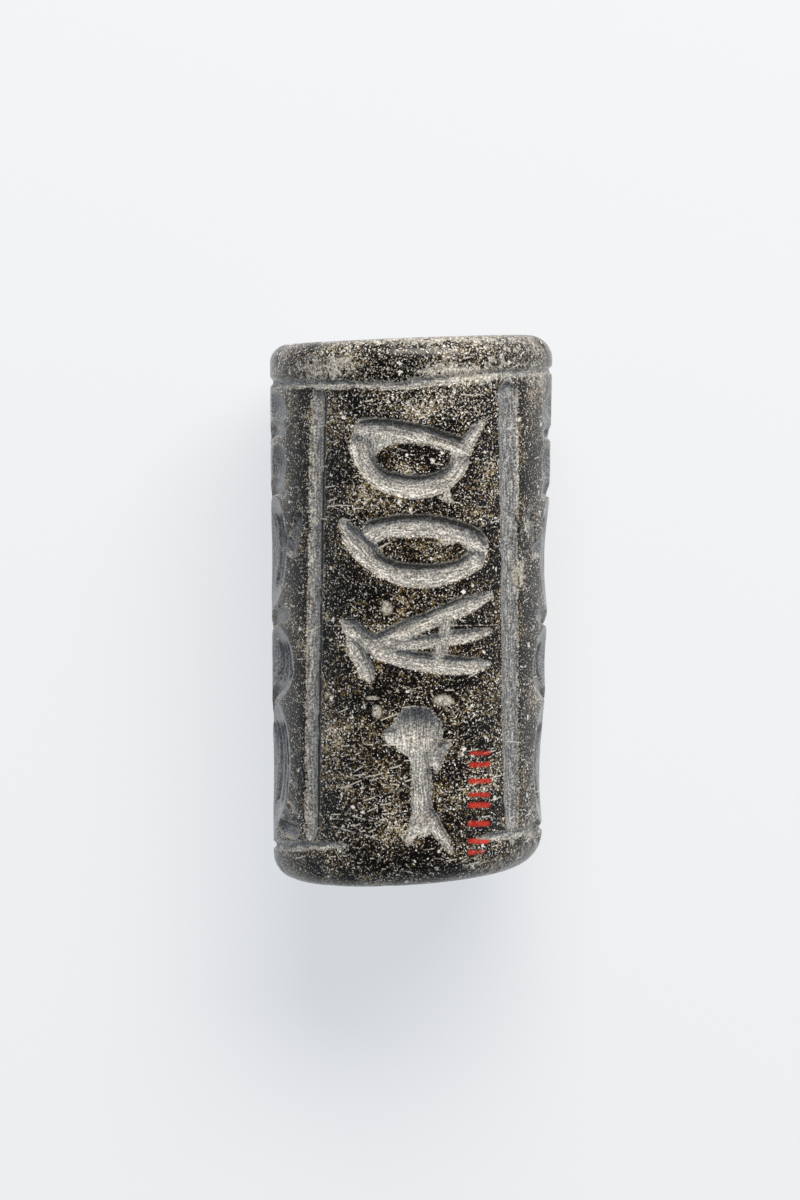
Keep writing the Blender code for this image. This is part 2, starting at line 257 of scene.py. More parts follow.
@dataclass(frozen=True)
class Groove(Cut):
    """A round-bottomed groove that follows a line and runs out at its ends."""

    path: tuple[tuple[float, float], ...] = ()
    run_outs: tuple[float, float] = (0.6, 0.6)
    wobble: float = 0.1

    def reach(self) -> tuple[float, float, float, float]:
        """The groove's own box, grown by its width."""
        places = np.array(self.path)
        low, high = places.min(0) - self.width, places.max(0) + self.width
        return low[0], high[0], low[1], high[1]

    def read(self, across: Array, up: Array) -> tuple[Array, Array, Array, Array]:
        """Measures the groove, as Cut.read says."""
        places = np.stack([across, up], axis=1)
        nodes = np.array(self.path)
        runs = np.concatenate([[0], np.cumsum(np.linalg.norm(np.diff(nodes, axis=0), axis=1))])
        nearest = np.full(len(places), 1e9)
        run = np.zeros(len(places))
        side = np.zeros(len(places))
        for first, second, before in zip(nodes, nodes[1:], runs):
            way = second - first
            length = np.linalg.norm(way)
            share = np.clip((places - first) @ way / length**2, 0, 1)
            away = places - first - share[:, None] * way
            gap = np.linalg.norm(away, axis=1)
            closer = gap < nearest
            nearest = np.where(closer, gap, nearest)
            run = np.where(closer, before + share * length, run)
            turn = (way[0] * away[:, 1] - way[1] * away[:, 0]) / length
            side = np.where(closer, np.copysign(gap, turn), side)
        shares = [
            np.minimum(self.end_share(run, 0, least), self.end_share(runs[-1] - run, 1, least))
            for least in (0.35, 0.12)
        ]
        waver = 1 + self.wobble * lattice_noise(np.stack([run, side * 0, run * 0], 1), 0.7, 3)
        wide, deep = self.width * shares[0] * waver, self.depth * shares[1]
        radius = (wide**2 / 4 + deep**2) / (2 * deep)
        floor = np.sqrt(np.maximum(radius**2 - side**2, 0))
        return floor - (radius - deep), wide / 2 - np.abs(side), run, side

    def end_share(self, run: Array, end: int, least: float) -> Array:
        """How much of its full size the groove has at a distance from its end.

        Args:
            run: distance from that end, in millimetres.
            end: 0 for the first end and 1 for the last.
            least: the share at the very end.

        Returns:
            The share at each place.
        """
        share = np.clip(run / self.run_outs[end], 0, 1)
        return least + (1 - least) * share * (2 - share)


@dataclass(frozen=True)
class Hollow(Cut):
    """A smooth oval hollow, its long way up the stone unless it leans.

    Its wide upper wall takes less painted shade than a groove's, so more of its chalk stays.
    """

    chalk_spared_by_shade: ClassVar[float] = 0.28
    centre: tuple[float, float] = (0.0, 0.0)
    length: float = 1.0
    lean: float = 0.0

    def reach(self) -> tuple[float, float, float, float]:
        """The hollow's own box."""
        far = max(self.length, self.width) * 0.62
        x, y = self.centre
        return x - far, x + far, y - far, y + far

    def read(self, across: Array, up: Array) -> tuple[Array, Array, Array, Array]:
        """Measures the hollow, as Cut.read says."""
        turn = math.radians(self.lean)
        x, y = across - self.centre[0], up - self.centre[1]
        over = x * math.cos(turn) - y * math.sin(turn)
        along = x * math.sin(turn) + y * math.cos(turn)
        spread = (over / (self.width / 2)) ** 2 + (along / (self.length / 2)) ** 2
        inside = (1 - np.sqrt(spread)) * min(self.width, self.length) / 2
        return self.depth * (1 - spread), inside, along, over


@dataclass
class Carving:
    """The carver's layout. Places are in grid units, and tool widths and depths in millimetres."""

    stone: Stone
    rule: tuple[float, float] = (0.98, 0.3)
    line: tuple[float, float] = (0.4, 0.17)
    almond: tuple[float, float] = (1.08, 0.4)
    ray: tuple[float, float] = (0.85, 0.3)
    cup: tuple[float, float] = (2.6, 0.66)
    stem: tuple[float, float] = (1.0, 0.32)
    tail: tuple[float, float] = (0.7, 0.24)
    limb: tuple[float, float] = (0.75, 0.36)
    robe_depth: float = 0.5
    head_depth: float = 0.45
    fringe: tuple[float, float] = (0.4, 0.16)
    frond: tuple[float, float] = (0.55, 0.26)
    sky: tuple[float, float] = (0.5, 0.26)
    long_run_out: float = 1.8
    cuts: list[Cut] = field(default_factory=list)
    bosses: list[Cut] = field(default_factory=list)

    def place(self, across: float, up: float) -> tuple[float, float]:
        """Millimetres on the unrolled side for a place on the grid."""
        return across * self.stone.unit_across / MM, up * self.stone.unit_up / MM

    def groove(
        self,
        path: Points,
        tool: tuple[float, float],
        chalk_and_shade: float,
        run_outs: tuple[float, float] = (0.6, 0.6),
        wobble: float = 0.1,
    ) -> None:
        """Adds a groove.

        Args:
            path: its line on the grid.
            tool: its width and depth.
            chalk_and_shade: how chalky it is; below zero it paints shade.
            run_outs: how far it takes to run out at each end, in millimetres.
            wobble: share by which its width wavers.
        """
        line = tuple(self.place(*point) for point in path)
        self.cuts.append(Groove(*tool, chalk_and_shade, line, run_outs, wobble))

    def hollow(
        self,
        centre: tuple[float, float],
        length: float,
        width: float,
        depth: float,
        chalk_and_shade: float,
        lean: float = 0.0,
        boss: bool = False,
    ) -> None:
        """chalk_and_shade: how chalky it is.
            lean: how far its upper end swings to the right, in degrees.
            boss: whether it is left standing.
        """
        wide, long = width * self.stone.unit_across / MM, length * self.stone.unit_up / MM
        oval = Hollow(wide, depth, chalk_and_shade, self.place(*centre), long, lean)
        (self.bosses if boss else self.cuts).append(oval)

    def frame_lines(self) -> None:
        """The head and foot lines and the two rules that fence the panel, with a painted shadow down the
        left rule and a pale lip, partly a painted highlight, on the right rule.
        """
        self.groove(bow((-22.3, 24.2), (0.3, 23.8)), self.line, 0.75, wobble=0.35)
        self.groove(bow((-0.3, 23.9), (22.3, 24.2), 0.7), self.line, 0.7, wobble=0.35)
        left_foot, right_foot = bow((-22.3, 0.3), (-3.4, 0.35), -0.2), bow((3.7, 0.7), (22.3, 0.4), 0.6)
        self.groove(left_foot, self.line, 0.95, (0.6, self.long_run_out), 0.3)
        self.groove(right_foot, self.line, 0.8, (self.long_run_out, 0.6), 0.3)
        left, right = bow((-5.0, 23.7), (-5.65, 0.5), -0.05), bow((5.25, 24.1), (6.2, 0.6), -0.05)
        self.groove(left, (self.rule[0] * 0.87, self.rule[1]), 0.7)
        # Painted shadow: a narrow groove whose chalk is below zero, so it colours the left rule's right-hand
        # wall near black.
        painted_shadow_line = bow((-4.64, 23.5), (-5.18, 0.7), -0.05)
        self.groove(painted_shadow_line, (0.36, 0.2), -0.2, wobble=0.3)
        self.groove(right, (self.rule[0] * 1.2, self.rule[1]), 0.64, (0.6, self.long_run_out))
        # A pale worn lip on the right rule, its chalk above full, which also stands for a painted highlight.
        right_lip_wear_and_highlight = bow((5.87, 23.7), (6.13, 17.4))
        self.groove(right_lip_wear_and_highlight, (0.17, 0.05), 1.1, wobble=0.35)

    def almonds(self) -> None:
        """Two almond rings, each a bowed lid over a deeper bowed base, round a plain boss."""
        wide, deep = self.almond
        self.groove(bow((-2.8, 21.5), (2.9, 20.4), 0.4, 1.4), self.almond, 0.9)
        self.groove(bow((-2.5, 21.4), (2.55, 20.5), -2.15, 1.1), (wide * 1.2, deep), 0.9)
        self.hollow((-1.8, 20.95), 0.9, 1.2, 0.3, 0.9)
        flick = bow((2.5, 20.5), (3.8, 22.1))
        self.groove(flick, (wide * 0.65, deep * 0.7), 0.9, (0.6, self.long_run_out))
        self.groove(bow((-2.3, 16.0), (3.9, 15.4), 1.0, 1.2), self.almond, 0.85)
        base = bow((-3.5, 16.8), (3.9, 15.4), -1.85, 2.0)
        self.groove(base, (wide * 1.1, deep), 0.9, (self.long_run_out, 0.6))
        self.hollow((-2.45, 21.1), 1.3, 1.0, deep * 0.7, 0.9)
        self.hollow((-1.2, 20.75), 1.5, 2.6, deep * 0.8, 0.9)
        self.hollow((1.5, 20.45), 1.3, 2.2, deep * 0.8, 0.9)
        self.hollow((0.15, 20.12), 1.75, 3.9, deep, 0.0, boss=True)
        self.hollow((0.75, 15.42), 1.4, 4.5, deep, 0.0, boss=True)

    def fan(self) -> None:
        """Three rays that spread from a forked foot, the middle one finer, and a tick across them."""
        knot = (-2.0, 10.5)
        for end, rise in (((4.4, 13.2), 0.15), ((4.25, 9.65), -0.35)):
            self.groove(bow(knot, end, rise), self.ray, 0.95, (0.6, self.long_run_out))
        middle_ray = (self.ray[0] * 0.75, self.ray[1] * 0.7)
        self.groove(bow(knot, (4.4, 11.35), -0.08), middle_ray, 0.95, (0.6, self.long_run_out))
        strokes = (
            ((2.0, 12.3), (1.25, 9.3)),
            ((-3.5, 11.8), (-1.9, 10.4)),
            ((-3.2, 10.9), (-2.0, 8.8)),
        )
        for (start, end), wide in zip(strokes, (0.75, 1.0, 1.0)):
            self.groove(bow(start, end, 0.1), (self.ray[0] * wide, self.ray[1]), 1.0)

    def cup_and_tail(self) -> None:
        """A drilled cup on a stem with a forked tail."""
        size = self.cup[0] * MM / self.stone.unit_across
        self.hollow((0.45, 6.2), size, size, self.cup[1], 0.9)
        self.hollow((-0.8, 6.0), 0.9, 1.0, self.tail[1], 0.9)
        self.groove(bow((2.1, 5.6), (1.5, 4.3), -0.3), self.tail, 0.7)
        self.groove(bow((0.6, 5.6), (0.75, 1.6)), self.stem, 0.95)
        self.hollow((0.8, 1.7), 1.7, 1.2, self.tail[1], 0.95)
        for end in ((0.0, 0.5), (2.3, 0.1)):
            self.groove(bow((0.75, 2.4), end), self.tail, 0.95, (0.6, self.long_run_out))

    def figure(self, stand_at: float, facing: Facing, hand_up: bool) -> None:
        """A standing worshipper in a long fringed robe, seen from the side.

        Args:
            stand_at: the place round the stone.
            facing: which way it looks.
            hand_up: whether its hand is raised before its face.
        """
        side = facing.value

        def at(across: float, up: float) -> tuple[float, float]:
            """A grid place from one across the figure."""
            return stand_at + side * across, up

        def line(
            start: tuple[float, float],
            end: tuple[float, float],
            rise: float = 0.0,
            tool: tuple[float, float] = self.limb,
        ) -> None:
            """A groove between two places of the figure."""
            self.groove(bow(at(*start), at(*end), side * rise), tool, 0.45)

        self.hollow(at(0.5, 22.7), 1.7, 2.6, self.limb[1], 0.35, 18 * side)
        line((-1.9, 21.2), (1.7, 21.5), 0.2)
        self.hollow(at(0.6, 19.8), 2.2, 2.3, self.head_depth, 0.35)
        self.hollow(at(-0.2, 15.3), 5.6, 3.9, self.robe_depth, 0.3, 6 * side)
        line((-2.3, 17.7), (1.7, 18.3), 0.6)
        line((0.6, 16.9), (2.6, 15.2), -0.2)
        line((2.5, 15.3), (3.1, 19.6 if hand_up else 17.4), 0.2)
        self.hollow(at(0.5, 9.6), 3.6, 3.9, self.robe_depth, 0.3, 28 * side)
        line((-2.5, 10.9), (2.0, 12.0), 0.4)
        self.hollow(at(-0.1, 4.4), 6.4, 4.3, self.robe_depth, 0.3, 4 * side)
        line((-2.4, 6.2), (2.3, 9.2), 0.4)
        for fold in (-0.9, 0.0, 0.9):
            pleat = (self.fringe[0] * 0.75, self.robe_depth + self.fringe[1] * 0.6)
            line((fold * 0.7, 17.3), (fold, 13.4), 0.1, pleat)
            line((0.5 + fold * 0.7, 10.8), (0.5 + fold, 8.4), 0.1, pleat)
            line((fold * 0.8, 6.6), (fold * 1.3, 2.2), 0.1, pleat)
        for fold in range(3):
            line((-1.6, 3.7 + 1.3 * fold), (2.6, 0.6 + 1.3 * fold), 0.25, self.fringe)
        line((0.4, 1.2), (2.8, 0.95))

    def palm(self, stand_at: float) -> None:
        """A palm with a straight trunk, three pairs of drooping fronds and two fruit clusters."""
        self.groove(bow((stand_at, 1.0), (stand_at, 14.6)), self.limb, 0.4)
        for side in (-1, 1):
            for tier in range(3):
                start = (stand_at - side * 0.15, 14.1 + 0.5 * tier + 0.1 * side)
                end = (stand_at + side * (2.6 - 0.5 * tier), 13.0 + 2.6 * tier)
                frond = bow(start, end, side * (1.1 - 0.3 * tier))
                self.groove(frond, self.frond, 0.4, (0.6, self.long_run_out))
            self.hollow((stand_at + side * 1.1, 11.4), 1.2, 1.2, self.limb[1], 0.3)
            root = bow((stand_at - side * 0.1, 1.7 + 0.1 * side), (stand_at + side * 1.8, 1.0))
            self.groove(root, self.frond, 0.4)

    def sky_signs(self, star_at: tuple[float, float], crescent_at: tuple[float, float]) -> None:
        """A six-rayed star and a crescent between the heads."""
        for ray in range(3):
            turn = math.pi * ray / 3
            reach = Vector((math.cos(turn), math.sin(turn))) * 1.4
            centre = Vector(star_at)
            end = centre + reach * (1 + 0.06 * ray)
            self.groove(bow(tuple(centre - reach), tuple(end), 0.05 * ray), self.sky, 0.4)
        x, y = crescent_at
        moon = bow((x - 1.4, y + 0.6), (x + 1.4, y + 0.6), -1.4, 1.2)
        self.groove(moon, (self.sky[0] * 1.3, self.sky[1]), 0.4)

    def lay_out(self) -> list[Cut]:
        """Draws the whole design.

        Returns:
            Every cut, in the order in which it is made.
        """
        self.frame_lines()
        self.almonds()
        self.fan()
        self.cup_and_tail()
        self.figure(-9.4, Facing.RIGHT, hand_up=False)
        self.figure(10.3, Facing.LEFT, hand_up=False)
        self.figure(17.2, Facing.LEFT, hand_up=True)
        self.palm(-16.8)
        self.sky_signs((-13.6, 21.2), (13.8, 21.6))
        return self.cuts


@dataclass(frozen=True)
class Patch:
    """A soft oval place on the grid, for wear, speckling or scratches."""

    across: float
    up: float
    wide: float
    high: float
    strength: float = 1.0


@dataclass(frozen=True)
class Dab:
    """A short stroke of red paint: its place up the grid, its thickness in mm and its slant."""

    up: float
    thick: float
    slant: float


# Places and sizes are in grid units, across the panel from its middle and up from the foot line.
RUBBED_AND_RIM_HIGHLIGHT = (
    Patch(2.9, 24.4, 2.2, 0.6, 1.2),
    Patch(1.2, 24.7, 1.2, 0.3, 0.7),
    Patch(4.7, 25.1, 0.8, 0.5, 0.5),
    Patch(-5.3, 24.6, 1.4, 0.8, 1.1),
    Patch(-3.4, 25.0, 0.9, 0.8, 0.9),
    Patch(-1.6, 23.9, 1.6, 0.2, 0.8),
    Patch(7.4, 24.6, 1.2, 0.9, 0.8),
    Patch(8.6, 22.6, 1.0, 2.0, 0.7),
    Patch(7.2, 16.9, 0.7, 0.8, 1.2),
    Patch(6.4, 14.4, 0.6, 1.0, 1.1),
    Patch(-1.1, 12.5, 0.4, 0.4, 0.9),
    Patch(1.8, 18.2, 0.4, 0.35, 1.3),
    Patch(1.9, 15.9, 0.5, 0.25, 1.3),
    Patch(-0.3, 11.1, 0.6, 0.3, 0.9),
    Patch(8.2, 1.2, 1.6, 0.6, 0.9),
    Patch(7.4, -0.3, 1.2, 0.8, 0.8),
    # Along the head's rim this wear patch also stands for a painted highlight.
    Patch(0.0, 26.3, 8.0, 0.45, 1.05),
    Patch(-5.0, 22.8, 0.22, 0.7, 1.3),
    Patch(-5.35, 16.9, 0.25, 0.2, 1.5),
    Patch(5.5, 25.6, 1.8, 0.7, 0.3),
)
SPECKLED = (
    Patch(1.0, 25.3, 6.5, 0.9, 0.9),
    Patch(1.0, 22.8, 4.5, 1.6, 1.3),
    Patch(3.8, 19.0, 1.2, 2.0, 0.5),
    Patch(0.0, 17.6, 4.5, 0.8, 0.2),
    Patch(-3.0, 12.9, 2.2, 1.2, 0.4),
    Patch(-2.5, 4.5, 2.6, 2.6, 0.1),
    Patch(4.0, 5.5, 2.2, 3.6, 0.35),
    Patch(1.0, -0.9, 5.0, 1.0, 0.3),
)
SCRATCHED = (
    Patch(-2.4, 3.2, 2.0, 2.4),
    Patch(-2.8, 0.9, 2.2, 0.8, 0.9),
    Patch(4.6, 3.0, 1.4, 3.0, 0.7),
    Patch(-3.8, 18.0, 1.8, 1.8, 0.5),
    Patch(0.5, -0.6, 4.0, 0.6, 0.6),
)
GRAINS = (
    Patch(1.77, 7.8, 0.52, 0.3),
    Patch(-1.62, 7.2, 0.26, 0.34),
    Patch(-1.85, 7.9, 0.4, 0.1),
    Patch(-1.14, 12.5, 0.26, 0.32),
)
# The dabs' middle is a place on the grid, and their half-length is in millimetres.
DABS_ACROSS, DAB_HALF_LENGTH = 3.85, 0.56
DABS = (
    Dab(5.1, 0.2, 0.0), Dab(4.52, 0.26, -0.03), Dab(3.68, 0.26, -0.02), Dab(2.98, 0.24, 0.02),
    Dab(2.45, 0.28, -0.01), Dab(1.5, 0.28, 0.0), Dab(0.6, 0.26, 0.03), Dab(0.02, 0.26, 0.02),
)
# A distance in millimetres that no mark reaches, and how far inside a cut the uncut stone counts.
FAR, UNCUT = 9.0, -1.0


@dataclass
class SealStone:
    """The stone itself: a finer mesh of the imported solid's form, carved and worn."""

    stone: Stone = field(default_factory=Stone)
    node: str = "cylinder_seal"
    name: str = "carved_seal_stone"
    slot: str = "stone"
    side_rows: int = 206
    shoulder_rows: int = 7
    end_rows: int = 4
    bore_rows: int = 6
    fine_arc: float = math.radians(216)
    fine_steps: int = 300
    coarse_steps: int = 76
    lip_softness: float = 0.035
    blend_power: int = 6
    wear_fade: float = 0.004
    undulation: float = 0.02
    wave_size: float = 2.6
    pitting: float = 0.012
    pit_size: float = 0.35
    pit_start: float = 0.35
    chip_depth: float = 0.16
    chip_sizes: tuple[float, float] = (1.1, 0.5)
    chip_start: float = 0.35
    chipped_edge: tuple[float, float] = (-1.6, -0.5)
    side_share: float = 0.9
    streak_step: float = 3.7
    # Painted shade: how far the upper and right-hand walls of the cuts, facing away from the lamp, lose
    # their chalk and go dark.
    shade_upper_wall: tuple[float, float] = (-0.7, -0.15)
    shade_right_wall: tuple[float, float] = (-0.8, -0.4)
    right_wall_shade_keeps: float = 0.6
    rag: float = 0.035
    rag_noises: tuple[tuple[float, int], ...] = ((0.33, 8), (0.9, 9))
    plain_ends: float = -0.8
    boss_wall: tuple[float, float] = (-0.16, 0.05)

    def profile(self, shape: bmesh.types.BMesh) -> list[bmesh.types.BMEdge]:
        """Draws the half-section at the back edge of the fine arc.

        Args:
            shape: where to draw it.

        Returns:
            The section's edges.
        """
        s = self.stone
        head = (s.head_radius - s.head_shoulder, s.half - s.head_shoulder)
        foot = (s.foot_radius - s.foot_shoulder, -s.half + s.foot_shoulder)
        lip = s.bore_end_radius + s.bore_lip
        waist = s.bore_waist_radius
        stretches = [
            self.arc(head, s.head_shoulder, 90, 0, self.shoulder_rows),
            self.arc(foot, s.foot_shoulder, 0, -90, self.shoulder_rows),
            self.arc((lip, -s.half + s.bore_lip), s.bore_lip, -90, -180, 3),
            [(waist, 0.0)],
            self.arc((lip, s.half - s.bore_lip), s.bore_lip, 180, 90, 3),
        ]
        joints = [self.side_rows, self.end_rows, self.bore_rows, self.bore_rows, self.end_rows]
        turn = Matrix.Rotation(-self.fine_arc / 2, 3, "Y")
        for radius, along in sum(stretches, []):
            shape.verts.new(turn @ Vector((0, along, radius)))
        shape.verts.ensure_lookup_table()
        starts = list(np.cumsum([0] + [len(stretch) for stretch in stretches]))
        for first, after in zip(starts, starts[1:]):
            for index in range(first, after - 1):
                shape.edges.new((shape.verts[index], shape.verts[index + 1]))
        for after, rows in zip(starts[1:], joints):
            shape.verts.ensure_lookup_table()
            ends = (shape.verts[after - 1], shape.verts[after % starts[-1]])
            edge = shape.edges.new(ends)
            bmesh.ops.subdivide_edges(shape, edges=[edge], cuts=rows - 1)
        return list(shape.edges)

    def arc(
        self, centre: tuple[float, float], radius: float, start: float, end: float, rows: int
    ) -> Points:
        """Points of a profile arc.

        Args:
            centre: its centre, out from the axis and along it.
            radius: its radius.
            start: first angle in degrees, from straight out towards the head.
            end: last angle.
            rows: number of stretches.

        Returns:
            The points, both ends included.
        """
        turns = [math.radians(start + (end - start) * row / rows) for row in range(rows + 1)]
        return [(centre[0] + radius * math.cos(t), centre[1] + radius * math.sin(t)) for t in turns]

    def turned(self) -> bpy.types.Mesh:
        """Spins the section round, finely over the visible arc and coarsely behind.

        Returns:
            The closed blank, still round its own axis along Y.
        """
        shape = bmesh.new()
        edges = self.profile(shape)
        ring = edges + list(shape.verts)
        for angle, steps in (
            (self.fine_arc, self.fine_steps),
            (2 * math.pi - self.fine_arc, self.coarse_steps),
        ):
            made = bmesh.ops.spin(
                shape, geom=ring, cent=(0, 0, 0), axis=(0, 1, 0), dvec=(0, 0, 0),
                angle=angle, steps=steps, use_merge=False, use_normal_flip=False,
            )
            ring = made["geom_last"]
        bmesh.ops.remove_doubles(shape, verts=shape.verts, dist=1e-6)
        bmesh.ops.recalc_face_normals(shape, faces=shape.faces)
        mesh = bpy.data.meshes.new(self.name)
        shape.to_mesh(mesh)
        shape.free()
        return mesh

    def worn_form(self, places: Array) -> Array:
        """Wears the shoulders and cuts the ends askew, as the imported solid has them.

        The side's rows close up or spread out below a worn shoulder, so none of them fold over.

        Args:
            places: the blank's vertices, in metres, one a row.

        Returns:
            The moved vertices.
        """
        s = self.stone
        x, along, z = places.T
        radius = np.hypot(x, z)
        for sign, corner, size, wear in (
            (1, s.head_radius, s.head_shoulder, s.head_shoulder_wear),
            (-1, s.foot_radius, s.foot_shoulder, s.foot_shoulder_wear),
        ):
            margin = size * 1.001
            near = (radius >= corner - margin) & (sign * along >= s.half - margin)
            scale = 1 + wear / size * x / radius
            worn = np.where(near, corner + (radius - corner) * scale, radius)
            below = s.half - size - sign * along
            follow = np.clip(1 - below / self.wear_fade, 0, 1) * (radius > s.foot_radius - margin)
            beside = along - sign * wear * x / radius * follow
            corner_place = sign * s.half + (along - sign * s.half) * scale
            along = np.where(near, corner_place, np.where(below > 0, beside, along))
            x, z, radius = x * worn / radius, z * worn / radius, worn
        at_head = x * math.tan(s.head_slant_across)
        at_foot = x * math.tan(s.foot_slant_across) - z * math.tan(s.foot_slant_under)
        share = np.clip(along / s.length + 0.5, 0, 1)
        moved = along + at_head * share + at_foot * (1 - share)
        outer = radius > s.bore_end_radius + s.bore_lip + s.head_shoulder
        grown = np.where(outer, 1 + (s.side_radius(moved) - s.side_radius(along)) / radius, 1)
        return np.stack([x * grown, moved, z * grown], axis=1)

    def on_grid(self, places: Array) -> tuple[Array, Array]:
        """Millimetres round and up the unrolled side for each vertex."""
        s = self.stone
        angle = np.arctan2(places[:, 0], places[:, 2])
        across = angle * s.side_radius(0.0) / MM
        up = (places[:, 1] + s.half - s.foot_margin) / MM
        return across, up

    def carve(self, across: Array, up: Array, on_side: Array) -> dict[str, Array]:
        """Reads every cut at every vertex of the side.

        Args:
            across: millimetres round the stone.
            up: millimetres up it.
            on_side: which vertices can be cut.

        Returns:
            The cut's depth and distance inside its lip in millimetres, its chalk, the share
            of it that the painted shade on its upper wall spares, and its streak place.
        """
        count = len(across)
        total = np.zeros(count)
        inside = np.full(count, UNCUT)
        chalk_and_shade = np.zeros(count)
        chalk_spared_by_shade = np.zeros(count)
        streak = np.zeros((count, 3))
        turn = 2 * math.pi * self.stone.side_radius(0.0) / MM
        carving = Carving(self.stone)
        for number, cut in enumerate(carving.lay_out()):
            low_x, high_x, low_y, high_y = cut.reach()
            for shift in (-turn, 0.0, turn):
                x = across + shift
                near = on_side & (x > low_x) & (x < high_x) & (up > low_y) & (up < high_y)
                if not near.any():
                    continue
                depth, within, along, over = cut.read(x[near], up[near])
                # The lip is rounded over, so that the cut starts a little outside its own line.
                soft = (depth + np.sqrt(depth**2 + self.lip_softness**2)) / 2
                soft -= np.where(depth < 0, self.lip_softness**2, 0) * 0.5
                soft = np.where(depth < -4 * self.lip_softness, 0, np.maximum(soft, 0))
                total[near] += soft**self.blend_power
                deeper = within > inside[near]
                index = np.flatnonzero(near)[deeper]
                inside[index] = within[deeper]
                chalk_and_shade[index] = cut.chalk_and_shade
                chalk_spared_by_shade[index] = cut.chalk_spared_by_shade
                streak[index] = np.stack(
                    [along[deeper], over[deeper], np.full(deeper.sum(), number * self.streak_step)], axis=1
                )
        for boss in carving.bosses:
            within = boss.read(across, up)[1]
            total *= (1 - smooth_step(within, *self.boss_wall)) ** self.blend_power
            inside = np.minimum(inside, np.maximum(-within, UNCUT))
        return {
            "depth": total ** (1 / self.blend_power),
            "inside": inside,
            "chalk_and_shade": chalk_and_shade,
            "chalk_spared_by_shade": chalk_spared_by_shade,
            "streak": streak,
        }

    def patches(self, across: Array, up: Array, spots: tuple[Patch, ...]) -> Array:
        """Adds up soft ovals.

        Args:
            across: millimetres round the stone.
            up: millimetres up it.
            spots: the ovals, in grid units.

        Returns:
            A strength for each vertex.
        """
        total = np.zeros(len(across))
        for spot in spots:
            x, y = self.from_patch(across, up, spot)
            total += spot.strength * np.exp(-(x**2 + y**2))
        return total

    def from_patch(self, across: Array, up: Array, spot: Patch) -> tuple[Array, Array]:
        """How far each vertex is from a patch's middle, across and up, in its own half-sizes."""
        s = self.stone
        x = (across - spot.across * s.unit_across / MM) / (spot.wide * s.unit_across / MM)
        y = (up - spot.up * s.unit_up / MM) / (spot.high * s.unit_up / MM)
        return x, y

    def dab_distance(self, across: Array, up: Array) -> Array:
        """Signed distance in millimetres to the nearest red dab, negative inside it."""
        s = self.stone
        aside = across - DABS_ACROSS * s.unit_across / MM
        nearest = np.full(len(across), FAR)
        for dab in DABS:
            x = np.maximum(np.abs(aside) - DAB_HALF_LENGTH, 0)
            y = up - dab.up * s.unit_up / MM + dab.slant * aside
            nearest = np.minimum(nearest, np.hypot(x, y) - dab.thick / 2)
        return nearest

    def grain_distance(self, across: Array, up: Array) -> Array:
        """How far outside the nearest pale grain each vertex is, with 0 at its edge."""
        nearest = np.full(len(across), FAR)
        for spot in GRAINS:
            nearest = np.minimum(nearest, np.hypot(*self.from_patch(across, up, spot)) - 1)
        return nearest

    def roughen(self, places: Array) -> Array:
        """How far wear lowers the surface, in millimetres: slow waves, pits and chipped edges."""
        s = self.stone
        mm = places / MM
        waves = 0.5 + 0.5 * lattice_noise(mm, self.wave_size, 1)
        pits = np.maximum(lattice_noise(mm, self.pit_size, 2) - self.pit_start, 0)
        radius = np.hypot(places[:, 0], places[:, 2])
        to_head = (s.half + places[:, 0] * math.tan(s.head_slant_across) - places[:, 1]) / MM
        to_foot = (
            places[:, 1] + s.half - places[:, 0] * math.tan(s.foot_slant_across)
            + places[:, 2] * math.tan(s.foot_slant_under)
        ) / MM
        to_side = (s.side_radius(places[:, 1]) - radius) / MM
        to_end = np.minimum(to_head, to_foot)
        edge = smooth_step(-np.hypot(to_end, to_side), *self.chipped_edge)
        coarse, fine = (lattice_noise(mm, size, seed) for size, seed in zip(self.chip_sizes, (4, 5)))
        chips = np.maximum(coarse + 0.5 * fine - self.chip_start, 0)
        outside = radius > s.bore_end_radius + 2 * s.bore_lip
        lowered = self.undulation * waves + self.pitting * pits + self.chip_depth * edge * chips
        return np.where(outside, lowered, 0)

    def build(self) -> bpy.types.Object:
        """Makes the carved stone in its lying place, dressed and tied to the frame.

        Returns:
            The finished object.
        """
        mesh = self.turned()
        places = self.worn_form(self.vectors(mesh, "co"))
        mesh.vertices.foreach_set("co", places.ravel())
        mesh.update()
        normals = self.vectors(mesh, "normal")
        s = self.stone
        across, up = self.on_grid(places)
        ragged = [self.rag * lattice_noise(places / MM, size, seed) for size, seed in self.rag_noises]
        radius = np.hypot(places[:, 0], places[:, 2])
        on_side = radius > s.side_radius(places[:, 1]) - self.side_share * s.head_shoulder
        marks = self.carve(across + ragged[0], up + ragged[1] + ragged[0], on_side)
        lowered = np.maximum(marks["depth"], 0) + self.roughen(places)
        places = places - normals * lowered[:, None] * MM
        places = self.lie_down(places)
        mesh.vertices.foreach_set("co", places.ravel())
        self.unroll(mesh, across, up)
        self.mark(mesh, "inside_cut", marks["inside"])
